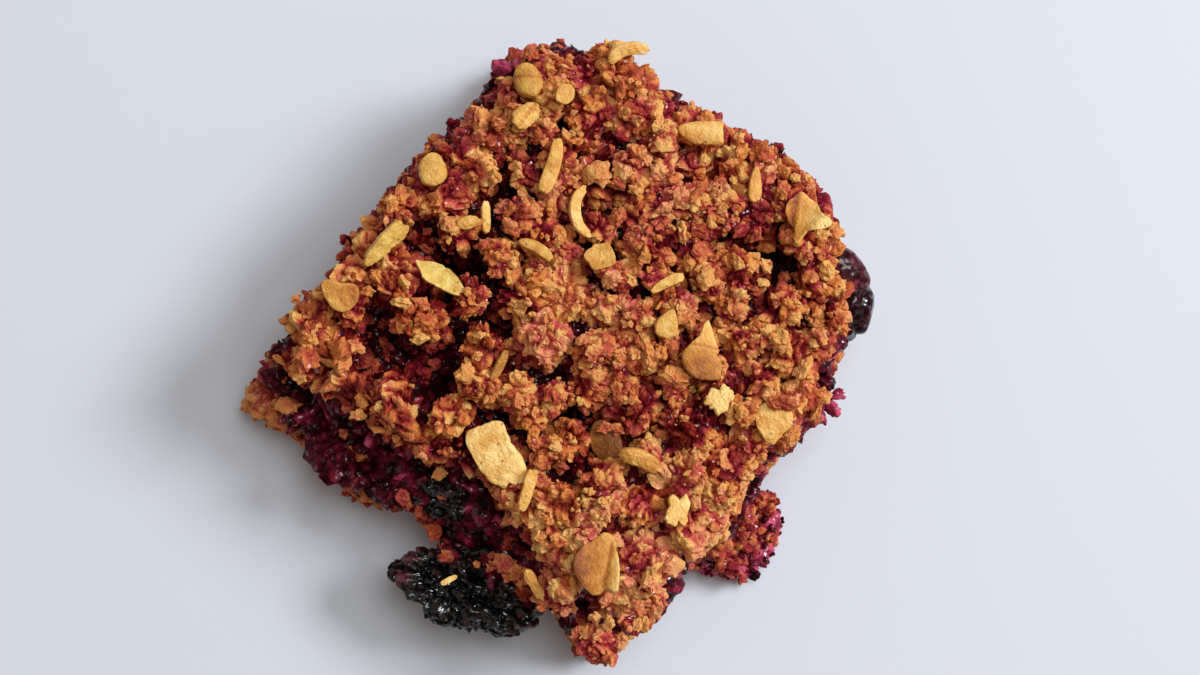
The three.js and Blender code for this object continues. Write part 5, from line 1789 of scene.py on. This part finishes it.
scatter("fruit_lumps", surfaces["filling"], 900, 1.2, 3.4, 13, 0.50, -0.30, even(0.4), even(1), 501,
        material=filling_finish, keep=on_wall, roundness=0.6)
scatter("fruit_bits", surfaces["filling"], 800, 0.5, 1.4, 7, 0.5, 0.1, even(0.4), even(1), 511,
        material=filling_finish, keep=on_wall, roundness=0.6)
scatter("crust_crumbs", surfaces["crust"], 4200, 0.35, 1.0, 6, 0.4, -0.2, even(0.80), even(-0.36), 521,
        keep=on_wall)
scatter("slope_crumbs", surfaces["filling"], 650, 0.5, 1.6, 9, 0.3, 0.5, even(0.76), even(-0.06), 531,
        keep=on_wall, own_golden=0.5, own_juice=0.8)
scatter("lump_crumbs", surfaces["lump_crumb"], 240, 0.35, 0.9, 6, 0.4, 0.3, even(0.72), even(0.05), 541,
        keep=above_floor)
scatter("lump_bits", surfaces["lump"], 420, 0.3, 0.8, 5, 0.4, 0.3, even(0.5), even(1), 551,
        material=filling_finish, keep=above_floor, roundness=0.6)

# %% [markdown]
# ## Bright shreds
#
# Where the filling was pulled apart, thin bright shreds of fruit stick out of it. They are crumbs stretched
# long. Only a few places have them: the sides, the back, the left corner and the lump.

# %% Shreds
SHREDS = [  # x, y, z, half length, half width, turn, lean
    (34.2, 15.2, 13.0, 1.7, 1.1, 20, -10), (33.6, 13.4, 12.4, 1.3, 1.0, -10, 5),
    (33.4, 17.4, 13.6, 1.4, 0.9, 60, 0), (-32.0, -30.2, 9.2, 1.2, 0.6, 170, -10),
    (-31.2, -32.0, 9.0, 1.0, 0.6, 200, 0), (-25.4, -33.9, 9.6, 1.1, 0.6, 262, 0),
    (-17.5, -34.6, 9.6, 1.2, 0.6, 280, 5), (38.2, -11.2, 3.0, 1.3, 0.6, -40, -10),
    (41.0, -7.4, 2.4, 1.1, 0.5, -10, 0), (36.4, 0.4, 2.6, 1.2, 0.6, 60, 0),
    (-32.2, 22.8, 20.0, 1.5, 1.3, 20, 0), (-30.6, 24.4, 20.4, 0.9, 0.8, 80, 0),
    (-32.4, 12.2, 15.0, 1.3, 0.8, 170, 0), (16.0, 36.0, 15.6, 1.1, 0.5, 80, -10),
    (12.2, 36.8, 15.0, 1.1, 0.5, 100, 0), (-31.6, 26.4, 15.4, 1.0, 0.5, 150, 0),
]
SHRED_NET = 12


def shred_points():
    """Cut balls stretched along, roughened, and turned to stick out."""
    directions, triangles = ball_net(SHRED_NET)
    cut = cut_radius(directions, len(SHREDS), CUT_PLANES, 601)
    pieces = []
    for radius, (x, y, z, half_length, half_width, turn, lean) in zip(cut, SHREDS):
        local = directions * radius[:, None] * (1 + 0.55 * noise(directions * 2.8 + x, 602))[:, None]
        local = turned(local * [half_length, half_width, half_width], turn, lean)
        pieces.append(local + np.array([x, y, z]))
    return joined(np.array(pieces), triangles)


points, triangles = shred_points()
make_piece("shreds", points, triangles, {"rise": 0.86}, [], filling_finish)

# %% [markdown]
# ## Crumbs on the front berry
#
# A little crumb and filling came away with the berry and sticks to its top.

# %% Crumbs on the berry


def on_berry_top(places, outward):
    """Places on the berry's upper side, in a patch towards the crumble."""
    patch = noise(places / 3.0, 711)
    return (outward[:, 2] > 0.35) & (places[:, 0] > 7) & (places[:, 1] > -37.5) & (patch > -0.1)


scatter("berry_crumbs", surfaces["berry_front"], 90, 0.35, 0.8, 9, 0.4, 0.3, even(0.70), even(-0.15), 701,
        keep=on_berry_top, own_golden=0.6, own_juice=0.6)

# %% Sliver on the berry
SLIVER_X, SLIVER_Y = 6.9, -37.2
SLIVER_REACH = 0.9

points, triangles, rise, _ = flake_points(2.6, 0.8, 721, thick=0.5, rough=0.14)
points = turned(points, 65, 0, 10) + [SLIVER_X, SLIVER_Y, 0]
under = surfaces["berry_front"][0]
near = np.hypot(under[:, 0] - SLIVER_X, under[:, 1] - SLIVER_Y) < SLIVER_REACH
points[:, 2] += under[near, 2].max()
numbers = {"golden": 0.8, "olive": 0.0, "rise": rise}
make_piece("berry_sliver", points, triangles, numbers, [], nut_finish)

# %% Clots on the berry
CLOTS = [  # x, y, half width of the clots of crumb between the berry and the heap
    (11.8, -30.8, 1.7), (13.4, -30.4, 1.2), (10.6, -31.7, 0.9), (12.8, -32.0, 0.6), (10.4, -32.6, 0.5),
    (14.9, -30.8, 0.9), (15.4, -31.8, 0.6), (4.4, -34.8, 0.5), (8.6, -33.2, 0.5),
]

tops = height_map(np.concatenate([under, surfaces["filling"][0], heap_points]))
clots = np.array(CLOTS)
clot_places = np.column_stack([clots[:, :2], tops[map_cells(clots)] + 0.3 * clots[:, 2]])
points, triangles, bulge = crumb_points(clot_places, clots[:, 2], 15, 0.25, 731)
own = np.broadcast_to(chance(np.arange(len(clots))[:, None] * [1, 3, 5], 732)[:, None], bulge.shape).ravel()
# Rise from the bulge: what stands out is more golden, partly real browning, and the rest darker, as painted
# shade.
numbers = {"golden": 0.50 + 0.36 * own, "rise": 0.05 + 0.75 * bulge.ravel(), "juice": 0.55 * own}
make_piece("berry_top_crumbs", points, triangles, numbers, [], crumb_finish, smooth=False)
